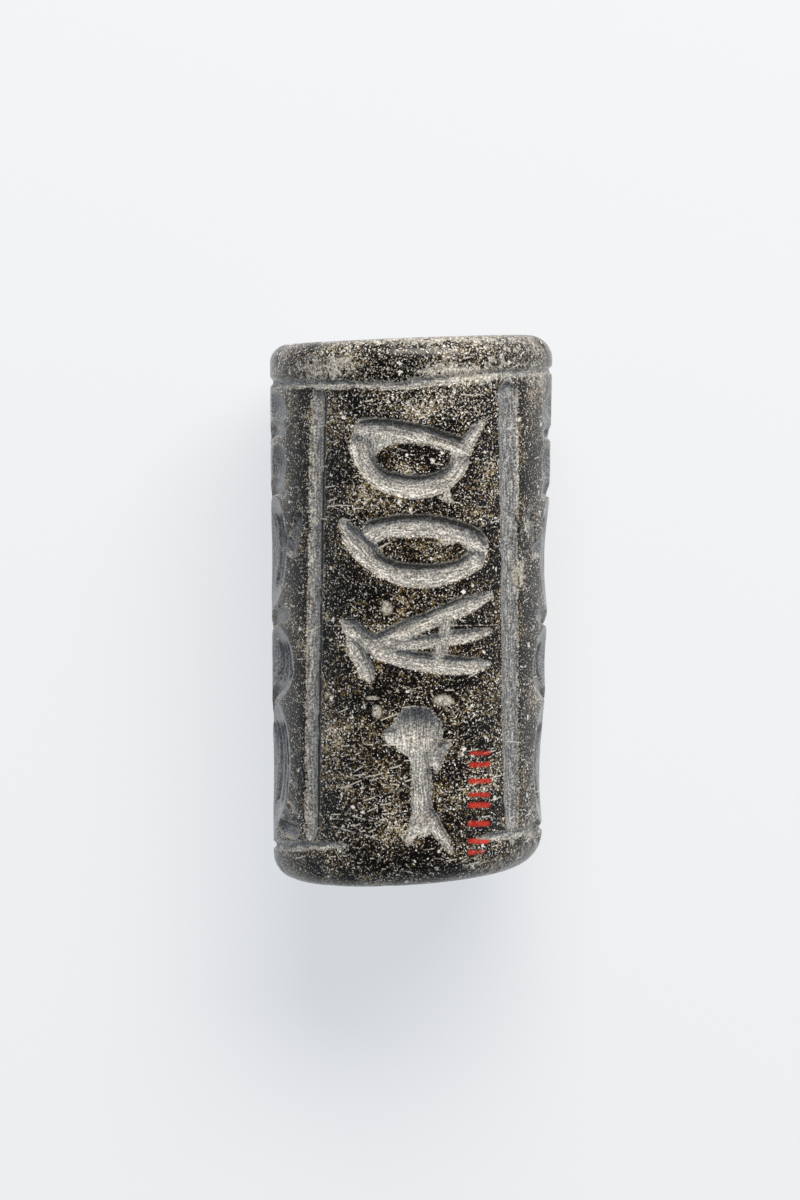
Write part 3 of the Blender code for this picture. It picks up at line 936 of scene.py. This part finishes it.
        # Painted shade: walls that face away from the lamp lose their chalk and so are coloured dark.
        spared_from_shade = marks["chalk_spared_by_shade"] + (1 - marks["chalk_spared_by_shade"]) * self.chalk_left_by_wall_shade(mesh, places)
        self.mark(mesh, "chalk_and_shade", marks["chalk_and_shade"] * spared_from_shade)
        self.mark(mesh, "streak", marks["streak"])
        for name, values, on_ends in (
            ("rubbed_and_rim_highlight", self.patches(across, up, RUBBED_AND_RIM_HIGHLIGHT), 0.0),
            ("speckled", self.patches(across, up, SPECKLED), self.plain_ends),
            ("scratched", self.patches(across, up, SCRATCHED), -FAR),
            ("dab", self.dab_distance(across, up), FAR),
            ("grain", self.grain_distance(across, up), FAR),
        ):
            self.mark(mesh, name, np.where(on_side, values, on_ends))
        mesh.shade_smooth()
        mesh.update()
        seal = bpy.data.objects.new(self.name, mesh)
        bpy.context.scene.collection.objects.link(seal)
        mesh.materials.append(SpeckledStone().build())
        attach(seal, "root")
        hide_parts(self.node)
        LOG.info("%s: %d faces", self.name, len(mesh.polygons))
        return seal

    def vectors(self, mesh: bpy.types.Mesh, name: str) -> Array:
        """Reads each vertex's place or normal, one a row."""
        values = np.empty(len(mesh.vertices) * 3)
        mesh.vertices.foreach_get(name, values)
        return values.reshape(-1, 3)

    def chalk_left_by_wall_shade(self, mesh: bpy.types.Mesh, places: Array) -> Array:
        """Painted shade: how much chalk each wall keeps, little on a groove's upper and right-hand walls,
        which face away from the lamp and so are painted dark.
        """
        mesh.update()
        normals = self.vectors(mesh, "normal")
        middle = self.stone.side_radius(0.0)
        angle = np.arctan2(places[:, 0], places[:, 2] - middle)
        sideways = normals[:, 0] * np.cos(angle) - normals[:, 2] * np.sin(angle)
        upper = smooth_step(normals[:, 1], *self.shade_upper_wall)
        keeps = self.right_wall_shade_keeps
        return upper * (keeps + (1 - keeps) * smooth_step(sideways, *self.shade_right_wall))

    def lie_down(self, places: Array) -> Array:
        """Tips the stone onto its lowest line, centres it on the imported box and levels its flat.

        Args:
            places: vertices round the stone's own axis.

        Returns:
            The vertices in the part's frame.
        """
        s = self.stone
        turn = np.array(Matrix.Rotation(s.tilt, 3, "X"))
        places = places @ turn.T
        middle, half = s.side_radius(0.0), s.rest_flat_width / 2
        drop = math.sqrt(middle**2 - half**2) * math.cos(s.tilt)
        low, high = np.array(CAD_BOX[0]), np.array(CAD_BOX[1])
        centre = (low + high) / 2
        found = (places.min(0) + places.max(0)) / 2
        places[:, :2] += centre[:2] - found[:2]
        places[:, 2] = np.maximum(places[:, 2] + drop, 0)
        return np.clip(places, low, high)

    def unroll(self, mesh: bpy.types.Mesh, across: Array, up: Array) -> None:
        """Gives the mesh a map of its unrolled side, in millimetres.

        Args:
            mesh: the stone.
            across: millimetres round, by vertex.
            up: millimetres up, by vertex.
        """
        layer = mesh.uv_layers.new(name="unrolled")
        corners = np.empty(len(mesh.loops), np.int32)
        mesh.loops.foreach_get("vertex_index", corners)
        starts = np.empty(len(mesh.polygons), np.int32)
        sizes = np.empty(len(mesh.polygons), np.int32)
        mesh.polygons.foreach_get("loop_start", starts)
        mesh.polygons.foreach_get("loop_total", sizes)
        face = np.repeat(np.arange(len(starts)), sizes)
        x = across[corners]
        first = x[starts][face]
        turn = 2 * math.pi * self.stone.side_radius(0.0) / MM
        x = x - turn * np.round((x - first) / turn)
        layer.data.foreach_set("uv", np.stack([x, up[corners]], axis=1).ravel())

    def mark(self, mesh: bpy.types.Mesh, name: str, values: Array) -> None:
        """Stores one number or one vector for each vertex.

        Args:
            mesh: the stone.
            name: the attribute's name.
            values: what it holds.
        """
        kind, key = ("FLOAT_VECTOR", "vector") if values.ndim == 2 else ("FLOAT", "value")
        layer = mesh.attributes.new(name, kind, "POINT")
        layer.data.foreach_set(key, values.astype(np.float32).ravel())


def add(tree: Tree, kind: str, inputs: dict | None = None, **settings: object) -> Node:
    """Adds a node with its settings and links.

    Args:
        tree: where the node goes.
        kind: the node's type, without its ShaderNode prefix.
        inputs: by socket name or number, a value, the socket that feeds it, or a node for its
            first output.
        settings: the node's own properties.

    Returns:
        The new node.
    """
    node = tree.nodes.new("ShaderNode" + kind)
    for name, value in settings.items():
        setattr(node, name, value)
    for key, value in (inputs or {}).items():
        if isinstance(value, Feed):
            source = value.outputs[0] if isinstance(value, Node) else value
            tree.links.new(source, node.inputs[key])
        else:
            node.inputs[key].default_value = value
    return node


def fill(ramp: Node, stops: Stops) -> Node:
    """Gives a new colour ramp its stops.

    Args:
        ramp: the ramp's node.
        stops: places between 0 and 1, and hex colours.

    Returns:
        The same node.
    """
    elements = ramp.color_ramp.elements
    while len(elements) < len(stops):
        elements.new(0.5)
    for element, (place, colour) in zip(elements, stops):
        element.position = place
        element.color = linear(colour)
    return ramp


@dataclass(frozen=True)
class SpeckledStone:
    """Steatite turned by hand, polished by handling, with matte chalky cuts.

    It gives the eye a black-brown ground with gold and cream flecks, grey abraded grooves whose upper
    walls are painted in shade and whose pale worn lips also act as a painted highlight, and fine scratches,
    pale crusts and dabs of red paint.
    """

    grounds: Stops = (
        (0.0, "#080607"), (0.47, "#0c0908"), (0.55, "#231a12"), (0.61, "#40321d"), (0.69, "#78643c"),
        (0.81, "#b0a386"),
    )
    flecks: Stops = ((0.36, "#a3936f"), (0.45, "#dad5c8"), (0.54, "#ffffff"))
    # The darkest stop is painted shade, for the cut walls that face away from the lamp.
    cut_and_shade_tones: Stops = (
        (0.28, "#1b1712"), (0.42, "#504f4b"), (0.55, "#7f8389"), (0.92, "#8d9095"), (1.0, "#adadab"),
    )
    cut_pit: str = "#38322b"
    cut_glint: str = "#f4f2ec"
    cut_stain: str = "#a8937a"
    crusts: Stops = ((0.38, "#544d3f"), (0.49, "#bbb5a8"), (0.6, "#f8f6f0"))
    scratch: str = "#e6e1d6"
    paints: Stops = ((0.35, "#8f1a14"), (0.6, "#e0402a"))
    cloud_size: float = 1.7
    mottle_size: float = 0.2
    fleck_size: float = 0.095
    lump_size: float = 0.55
    scratch_sets: tuple[tuple[float, float, float, float, float], ...] = (
        (0.7, -0.2, 0.6, 0.06, 0.8), (0.5, 0.0, 3.0, 0.14, 0.3), (1.1, -0.25, 0.35, 0.04, 0.8),
    )
    long_scratches: tuple[tuple[tuple[float, float], tuple[float, float], float], ...] = (
        ((-4.7, 11.38), (4.9, 11.48), 0.05),
        ((-4.3, 1.35), (-1.6, 0.75), 0.08),
        ((-3.4, 1.9), (-0.8, 1.45), 0.06),
        ((-4.4, 17.5), (-2.9, 16.9), 0.05),
    )
    grit_per_mm: float = 8.0
    sand_per_mm: float = 10.0
    stain_per_mm: float = 1.6
    break_per_mm: float = 4.0
    crust_per_mm: float = 4.0
    crumb_per_mm: float = 9.0
    brush_per_mm: float = 5.5
    streak_stretch: tuple[float, float, float] = (1.2, 12.0, 1.0)
    scratch_drift: float = 0.06
    scratch_width: tuple[float, float] = (0.01, 0.045)
    polished: tuple[float, float] = (0.17, 0.3)
    matte: tuple[float, float] = (0.22, 0.75)
    bump_strength: float = 0.6
    bump_height: float = 0.00002
    ior: float = 1.57
    specular: float = 0.3

    def build(self) -> bpy.types.Material:
        """Builds the stone's material.

        Returns:
            The material, reading Object coordinates, the unrolled map and the carving's marks.
        """
        material = bpy.data.materials.new("hand-polished speckled steatite")
        material.use_nodes = True
        tree = material.node_tree
        tree.nodes.clear()
        where = add(tree, "TexCoord")
        mm = add(tree, "VectorMath", {0: where.outputs["Object"], "Scale": 1 / MM}, operation="SCALE")
        stone, fleck = self.stone_colour(tree, mm)
        colour, rough, height = self.cuts(tree, mm, stone, fleck)
        colour = self.scratches(tree, mm, colour)
        colour, rough = self.crusted(tree, mm, colour, rough)
        colour, rough = self.painted(tree, mm, colour, rough)
        bump = add(
            tree, "Bump",
            {"Strength": self.bump_strength, "Distance": self.bump_height, "Height": height},
        )
        shader = add(
            tree, "BsdfPrincipled",
            {
                "Base Color": colour, "Roughness": rough, "IOR": self.ior,
                "Specular IOR Level": self.specular, "Normal": bump,
            },
        )
        out = add(tree, "OutputMaterial", {"Surface": shader})
        out.is_active_output = True
        return material

    def stone_colour(self, tree: Tree, mm: Feed) -> tuple[Feed, Feed]:
        """The uncut stone: a clouded brown-black ground with gold mottles and pale flecks.

        Args:
            tree: the material's nodes.
            mm: Object coordinates in millimetres.

        Returns:
            The colour, and how much of a fleck each spot is.
        """
        cloud = add(tree, "TexNoise", {"Vector": mm, "Scale": 1 / self.cloud_size, "Detail": 3.0})
        crowd = add(tree, "Attribute", attribute_name="speckled")
        mottle = add(
            tree, "TexNoise",
            {"Vector": mm, "Scale": 1 / self.mottle_size, "Detail": 4.0, "Roughness": 0.75},
        )
        warm = add(tree, "Math", {0: cloud, 1: 0.45, 2: mottle}, operation="MULTIPLY_ADD")
        shade = add(tree, "MapRange", {"Value": warm, "From Min": 0.4, "From Max": 1.06})
        ground = fill(add(tree, "ValToRGB", {"Fac": shade}), self.grounds)
        dust = add(
            tree, "TexNoise",
            {"Vector": mm, "Scale": 1 / self.fleck_size, "Detail": 2.0, "Roughness": 0.6, "Distortion": 0.6},
        )
        thick = add(tree, "Math", {0: cloud, 1: 0.2, 2: dust}, operation="MULTIPLY_ADD")
        crowded = add(
            tree, "Math", {0: crowd.outputs["Fac"], 1: 0.035, 2: thick}, operation="MULTIPLY_ADD"
        )
        small = add(tree, "MapRange", {"Value": crowded, "From Min": 0.7, "From Max": 0.728})
        cells = add(tree, "TexVoronoi", {"Vector": mm, "Scale": 1 / self.lump_size})
        chance = add(tree, "SeparateColor", {0: cells.outputs["Color"]})
        sized = add(tree, "Math", {0: chance, 1: 0.5, 2: mottle}, operation="MULTIPLY_ADD")
        above = add(tree, "Math", {0: sized, 1: cells.outputs["Distance"]}, operation="SUBTRACT")
        large = add(tree, "MapRange", {"Value": above, "From Min": 0.74, "From Max": 0.82})
        fleck = add(tree, "Math", {0: small, 1: large}, operation="MAXIMUM")
        hue = add(tree, "SeparateColor", {0: dust.outputs["Color"]})
        cream = fill(add(tree, "ValToRGB", {"Fac": hue.outputs[1]}), self.flecks)
        return add(tree, "Mix", {0: fleck, 6: ground, 7: cream}, data_type="RGBA").outputs[2], fleck

    def cuts(self, tree: Tree, mm: Feed, stone: Feed, fleck: Feed) -> tuple[Feed, Feed, Feed]:
        """The cuts: painted shade on their upper walls, slate where smooth, chalky where thick with chalk,
        and pale worn lips that also act as a painted highlight.

        Args:
            tree: the material's nodes.
            mm: Object coordinates in millimetres.
            stone: the uncut stone's colour.
            fleck: how much of a fleck each spot is.

        Returns:
            The colour, the roughness and the height for the bump.
        """
        grit = add(
            tree, "TexNoise",
            {"Vector": mm, "Scale": self.grit_per_mm, "Detail": 3.0, "Roughness": 0.75},
        )
        sand = add(
            tree, "TexNoise",
            {"Vector": mm, "Scale": self.sand_per_mm, "Detail": 2.0, "Roughness": 0.7},
        )
        stain = add(tree, "TexNoise", {"Vector": mm, "Scale": self.stain_per_mm, "Detail": 2.0})
        along = add(tree, "Attribute", attribute_name="streak")
        place = add(
            tree, "VectorMath", {0: along.outputs["Vector"], 1: self.streak_stretch}, operation="MULTIPLY"
        )
        streak = add(tree, "TexNoise", {"Vector": place, "Scale": 1.0, "Detail": 2.0})
        within = add(tree, "Attribute", attribute_name="inside_cut")
        ragged = add(tree, "Math", {0: grit, 1: 0.5, 2: within.outputs["Fac"]}, operation="MULTIPLY_ADD")
        inside = add(tree, "MapRange", {"Value": ragged, "From Min": 0.24, "From Max": 0.31})
        # The chalk in the cuts, with painted shade on their walls where it is low.
        chalk_and_shade = add(tree, "Attribute", attribute_name="chalk_and_shade")
        chalk_shade_level = add(tree, "Math", {0: grit, 1: 0.5, 2: chalk_and_shade.outputs["Fac"]}, operation="MULTIPLY_ADD")
        tone = fill(add(tree, "ValToRGB", {"Fac": chalk_shade_level}), self.cut_and_shade_tones)
        tan = add(tree, "MapRange", {"Value": stain, "From Min": 0.55, "From Max": 0.75, "To Max": 0.4})
        tinged = add(tree, "Math", {0: tan, 1: chalk_and_shade.outputs["Fac"]}, operation="MULTIPLY")
        mottled = add(tree, "Math", {0: streak, 1: 0.6, 2: sand}, operation="MULTIPLY_ADD")
        pitted = add(
            tree, "MapRange",
            {"Value": mottled, "From Min": 0.66, "From Max": 0.84, "To Min": 0.8, "To Max": 0.0},
        )
        glint = add(tree, "MapRange", {"Value": mottled, "From Min": 0.84, "From Max": 0.96})
        caught = add(tree, "Math", {0: glint, 1: chalk_and_shade.outputs["Fac"]}, operation="MULTIPLY")
        for share, over in ((tinged, self.cut_stain), (pitted, self.cut_pit), (caught, self.cut_glint)):
            tone = add(tree, "Mix", {0: share, 6: tone, 7: linear(over)}, data_type="RGBA").outputs[2]
        colour = add(tree, "Mix", {0: inside, 6: stone, 7: tone}, data_type="RGBA").outputs[2]
        # Pale worn lips round the cuts, which also stand for a painted highlight along them.
        edge = add(tree, "Math", {0: within.outputs["Fac"]}, operation="ABSOLUTE")
        lip = add(
            tree, "MapRange",
            {"Value": edge, "From Min": 0.015, "From Max": 0.06, "To Min": 1.0, "To Max": 0.0},
        )
        worn = add(tree, "MapRange", {"Value": grit, "From Min": 0.42, "From Max": 0.6, "To Max": 0.6})
        lip_wear_and_highlight = add(tree, "Math", {0: lip, 1: worn}, operation="MULTIPLY")
        pale = linear(self.flecks[1][1])
        colour = add(tree, "Mix", {0: lip_wear_and_highlight, 6: colour, 7: pale}, data_type="RGBA").outputs[2]
        smooth, dry = self.polished, self.matte
        polish = add(
            tree, "MapRange",
            {"Value": grit, "From Min": 0.3, "From Max": 0.7, "To Min": smooth[0], "To Max": smooth[1]},
        )
        matte = add(
            tree, "MapRange",
            {
                "Value": chalk_and_shade.outputs["Fac"], "From Min": 0.35, "From Max": 0.8,
                "To Min": dry[0], "To Max": dry[1],
            },
        )
        rough = add(tree, "MapRange", {"Value": inside, "To Min": polish, "To Max": matte})
        fine = add(tree, "Math", {0: streak, 1: inside}, operation="MULTIPLY")
        height = add(tree, "Math", {0: fleck, 1: -0.35, 2: fine}, operation="MULTIPLY_ADD")
        return colour, rough, height

    def scratches(self, tree: Tree, mm: Feed, colour: Feed) -> Feed:
        """Short fine pale scratches at all angles, most of them nearly level, and a few long ones.

        Args:
            tree: the material's nodes.
            mm: Object coordinates in millimetres.
            colour: the colour so far.

        Returns:
            The scratched colour.
        """
        pale = linear(self.scratch)
        unrolled = add(tree, "UVMap", uv_map="unrolled")
        crowd = add(tree, "Attribute", attribute_name="scratched")
        broken = add(tree, "TexNoise", {"Vector": mm, "Scale": self.break_per_mm, "Detail": 2.0})
        drift = add(
            tree, "VectorMath",
            {0: broken.outputs["Color"], 1: (0.0, self.scratch_drift, 0.0), 2: unrolled},
            operation="MULTIPLY_ADD",
        )
        for cell, angle, spread, often, strength in self.scratch_sets:
            cells = add(tree, "TexVoronoi", {"Vector": drift, "Scale": 1 / cell}, voronoi_dimensions="2D")
            away = add(tree, "VectorMath", {0: drift, 1: cells.outputs["Position"]}, operation="SUBTRACT")
            chance = add(tree, "SeparateColor", {0: cells.outputs["Color"]})
            turn = add(
                tree, "Math", {0: chance.outputs[1], 1: spread, 2: angle - spread / 2},
                operation="MULTIPLY_ADD",
            )
            turned = add(
                tree, "VectorRotate", {"Vector": away, "Angle": turn},
                rotation_type="Z_AXIS",
            )
            size = add(tree, "VectorMath", {0: turned}, operation="ABSOLUTE")
            parts = add(tree, "SeparateXYZ", {0: size})
            thin = add(
                tree, "MapRange",
                {
                    "Value": parts.outputs[1], "From Min": self.scratch_width[0],
                    "From Max": self.scratch_width[1], "To Min": strength, "To Max": 0.0,
                },
            )
            reach = add(
                tree, "Math", {0: chance.outputs[2], 1: cell * 0.45, 2: cell * 0.1}, operation="MULTIPLY_ADD"
            )
            short = add(tree, "Math", {0: parts, 1: reach}, operation="LESS_THAN")
            limit = add(
                tree, "Math", {0: crowd.outputs["Fac"], 1: 0.6, 2: often}, operation="MULTIPLY_ADD"
            )
            picked = add(tree, "Math", {0: chance, 1: limit}, operation="LESS_THAN")
            line = add(tree, "Math", {0: thin, 1: short}, operation="MULTIPLY")
            share = add(tree, "Math", {0: line, 1: picked}, operation="MULTIPLY")
            colour = add(tree, "Mix", {0: share, 6: colour, 7: pale}, data_type="RGBA").outputs[2]
        parts = add(tree, "SeparateXYZ", {0: drift})
        for start, end, wide in self.long_scratches:
            slope = (end[1] - start[1]) / (end[0] - start[0])
            rise = add(tree, "Math", {0: parts, 1: -slope, 2: parts.outputs[1]}, operation="MULTIPLY_ADD")
            gap = add(
                tree, "Math", {0: rise, 1: start[1] - slope * start[0] + 0.03, 2: wide * 0.5},
                operation="COMPARE",
            )
            whole = add(
                tree, "Math",
                {0: parts, 1: (start[0] + end[0]) / 2, 2: (end[0] - start[0]) / 2},
                operation="COMPARE",
            )
            faint = add(
                tree, "MapRange", {"Value": broken, "From Min": 0.4, "From Max": 0.6, "To Max": 0.6}
            )
            line = add(tree, "Math", {0: gap, 1: whole}, operation="MULTIPLY")
            share = add(tree, "Math", {0: line, 1: faint}, operation="MULTIPLY")
            colour = add(tree, "Mix", {0: share, 6: colour, 7: pale}, data_type="RGBA").outputs[2]
        return colour

    def crusted(self, tree: Tree, mm: Feed, colour: Feed, rough: Feed) -> tuple[Feed, Feed]:
        """Pale crusts on the worn places, which along the head's rim also stand for a painted highlight, and
        the few large grains.

        Args:
            tree: the material's nodes.
            mm: Object coordinates in millimetres.
            colour: the colour so far.
            rough: the roughness so far.

        Returns:
            The new colour and roughness.
        """
        grit = add(
            tree, "TexNoise",
            {"Vector": mm, "Scale": self.crust_per_mm, "Detail": 5.0, "Roughness": 0.8},
        )
        crumbs = add(
            tree, "TexNoise",
            {"Vector": mm, "Scale": self.crumb_per_mm, "Detail": 3.0, "Roughness": 0.8},
        )
        rubbed_and_rim_highlight = add(tree, "Attribute", attribute_name="rubbed_and_rim_highlight")
        crust = add(tree, "Math", {0: rubbed_and_rim_highlight.outputs["Fac"], 1: 0.2, 2: grit}, operation="MULTIPLY_ADD")
        share = add(tree, "MapRange", {"Value": crust, "From Min": 0.62, "From Max": 0.7, "To Max": 0.9})
        pale = fill(add(tree, "ValToRGB", {"Fac": crumbs}), self.crusts)
        colour = add(tree, "Mix", {0: share, 6: colour, 7: pale}, data_type="RGBA").outputs[2]
        grain = add(tree, "Attribute", attribute_name="grain")
        edge = add(tree, "Math", {0: crumbs, 1: 2.4, 2: grain.outputs["Fac"]}, operation="MULTIPLY_ADD")
        lump = add(
            tree, "MapRange",
            {"Value": edge, "From Min": 1.1, "From Max": 1.3, "To Min": 0.9, "To Max": 0.0},
        )
        colour = add(tree, "Mix", {0: lump, 6: colour, 7: pale}, data_type="RGBA").outputs[2]
        dull = add(tree, "Math", {0: share, 1: 0.4, 2: rough}, operation="MULTIPLY_ADD")
        return colour, dull

    def painted(self, tree: Tree, mm: Feed, colour: Feed, rough: Feed) -> tuple[Feed, Feed]:
        """Short brush strokes of red paint, thin at their edges.

        Args:
            tree: the material's nodes.
            mm: Object coordinates in millimetres.
            colour: the colour so far.
            rough: the roughness so far.

        Returns:
            The new colour and roughness.
        """
        grit = add(
            tree, "TexNoise",
            {"Vector": mm, "Scale": self.brush_per_mm, "Detail": 4.0, "Roughness": 0.7},
        )
        dab = add(tree, "Attribute", attribute_name="dab")
        edge = add(tree, "Math", {0: grit, 1: 0.4, 2: dab.outputs["Fac"]}, operation="MULTIPLY_ADD")
        share = add(
            tree, "MapRange",
            {"Value": edge, "From Min": 0.15, "From Max": 0.23, "To Min": 0.95, "To Max": 0.0},
        )
        red = fill(add(tree, "ValToRGB", {"Fac": grit}), self.paints)
        colour = add(tree, "Mix", {0: share, 6: colour, 7: red}, data_type="RGBA").outputs[2]
        dull = add(tree, "Math", {0: share, 1: 0.15, 2: rough}, operation="MULTIPLY_ADD")
        return colour, dull


@dataclass
class Studio:
    """Pale table, soft light and the photograph's straight-down camera.

    The table is white acrylic with a painted glow round the seal, strongest near it, that lifts the floor
    where the seal's shadow falls. It gives the eye a floor that is nearly white in the picture, while the
    stone's sides still reflect a dimmer room.
    """

    pixels_per_mm: float = 19.64
    image: tuple[int, int] = (800, 1200)
    seal_centre: tuple[float, float] = (409.5, 609.0)
    camera_height: float = 0.46
    camera_roll: float = math.radians(0.4)
    table_size: float = 1.2
    table_grey: str = "#8e8e8e"
    table_roughness: float = 0.6
    table_specular: float = 0.2
    table_glow: str = "#ced1d5"
    glow_strength: float = 1.0
    glow_reach: tuple[float, float] = (0.045, 0.085)
    glow_narrowing: float = 1.5
    glow_rim: float = 0.3
    key_power: float = 2.6
    key_tint: str = "#fff8ee"
    key_size: tuple[float, float] = (0.42, 0.22)
    key_place: tuple[float, float, float] = (0.09, 0.30, 0.32)
    room_tint: tuple[float, float, float] = (0.82, 0.95, 1.08)
    room_tones: tuple[tuple[float, float], ...] = ((0.05, 0.5), (0.3, 0.36), (0.8, 0.06))

    def table(self) -> None:
        """A smooth white table under the seal, with a painted glow that is strongest close round it."""
        shape = bmesh.new()
        bmesh.ops.create_grid(shape, x_segments=1, y_segments=1, size=self.table_size / 2)
        mesh = bpy.data.meshes.new("table")
        shape.to_mesh(mesh)
        shape.free()
        floor = bpy.data.objects.new("table", mesh)
        bpy.context.scene.collection.objects.link(floor)
        material = bpy.data.materials.new("white acrylic with painted glow")
        material.use_nodes = True
        tree = material.node_tree
        shader = tree.nodes["Principled BSDF"]
        where = add(tree, "TexCoord")
        wide = add(
            tree, "VectorMath", {0: where.outputs["Object"], 1: (self.glow_narrowing, 1, 1)},
            operation="MULTIPLY",
        )
        away = add(tree, "VectorMath", {0: wide}, operation="LENGTH")
        glow = add(
            tree, "MapRange",
            {"Value": away.outputs["Value"], "From Min": self.glow_reach[0], "From Max": self.glow_reach[1],
             "To Min": self.glow_strength, "To Max": self.glow_strength * self.glow_rim},
            interpolation_type="SMOOTHSTEP",
        )
        # Painted glow: the table shines by itself, most round the seal, to lift its shadow.
        tree.links.new(glow.outputs[0], shader.inputs["Emission Strength"])
        shader.inputs["Base Color"].default_value = linear(self.table_grey)
        shader.inputs["Emission Color"].default_value = linear(self.table_glow)
        shader.inputs["Roughness"].default_value = self.table_roughness
        shader.inputs["Specular IOR Level"].default_value = self.table_specular
        mesh.materials.append(material)

    def lamp(
        self,
        name: str,
        place: tuple[float, float, float],
        size: tuple[float, float],
        power: float,
        tint: str,
    ) -> None:
        """A soft oblong lamp aimed at the seal.

        Args:
            name: the lamp's name.
            place: where it stands.
            size: its width and height.
            power: its power in watts.
            tint: its colour.
        """
        light = bpy.data.lights.new(name, "AREA")
        light.shape = "RECTANGLE"
        light.size, light.size_y = size
        light.energy = power
        light.color = linear(tint)[:3]
        lamp = bpy.data.objects.new(name, light)
        lamp.location = place
        lamp.rotation_euler = (-Vector(place)).to_track_quat("-Z", "Y").to_euler()
        bpy.context.scene.collection.objects.link(lamp)

    def sky(self) -> None:
        """A white room that is darker straight overhead, where the camera stands."""
        world = bpy.data.worlds.new("studio")
        world.use_nodes = True
        tree = world.node_tree
        tree.nodes.clear()
        way = add(tree, "TexCoord")
        parts = add(tree, "SeparateXYZ", {0: way.outputs["Generated"]})
        ramp = add(tree, "ValToRGB", {"Fac": parts.outputs[2]})
        ramp.color_ramp.elements.new(0.5)
        for element, (place, grey) in zip(ramp.color_ramp.elements, self.room_tones):
            element.position = place
            element.color = [grey * tint for tint in self.room_tint] + [1]
        background = add(tree, "Background", {"Color": ramp, "Strength": 1.0})
        add(tree, "OutputWorld", {"Surface": background})
        bpy.context.scene.world = world

    def camera(self) -> None:
        """The photograph's view: straight down, from well above."""
        low, high = CAD_BOX
        middle_height = (low[2] + high[2]) / 2
        frame_height = self.image[1] / self.pixels_per_mm * MM
        lens = bpy.data.cameras.new("camera")
        lens.sensor_fit = "VERTICAL"
        lens.sensor_height = 36.0
        lens.lens = lens.sensor_height * (self.camera_height - middle_height) / frame_height
        lens.clip_start = 0.01
        view = bpy.data.objects.new("camera", lens)
        offset = [
            (self.image[0] / 2 - self.seal_centre[0]) / self.pixels_per_mm * MM,
            (self.seal_centre[1] - self.image[1] / 2) / self.pixels_per_mm * MM,
        ]
        centre = [(low[0] + high[0]) / 2, (low[1] + high[1]) / 2]
        view.location = (centre[0] + offset[0], centre[1] + offset[1], self.camera_height)
        view.rotation_euler = (0, 0, self.camera_roll)
        bpy.context.scene.collection.objects.link(view)
        bpy.context.scene.camera = view

    def build(self) -> None:
        """Sets up the whole studio."""
        bpy.context.scene.view_settings.view_transform = "Standard"
        self.table()
        self.lamp("key", self.key_place, self.key_size, self.key_power, self.key_tint)
        self.sky()
        self.camera()


def main() -> None:
    """Builds the seal and its studio, and reports each piece."""
    logging.basicConfig(level=logging.INFO, format="%(name)s %(message)s")
    SealStone().build()
    Studio().build()


if __name__ == "__main__":
    main()
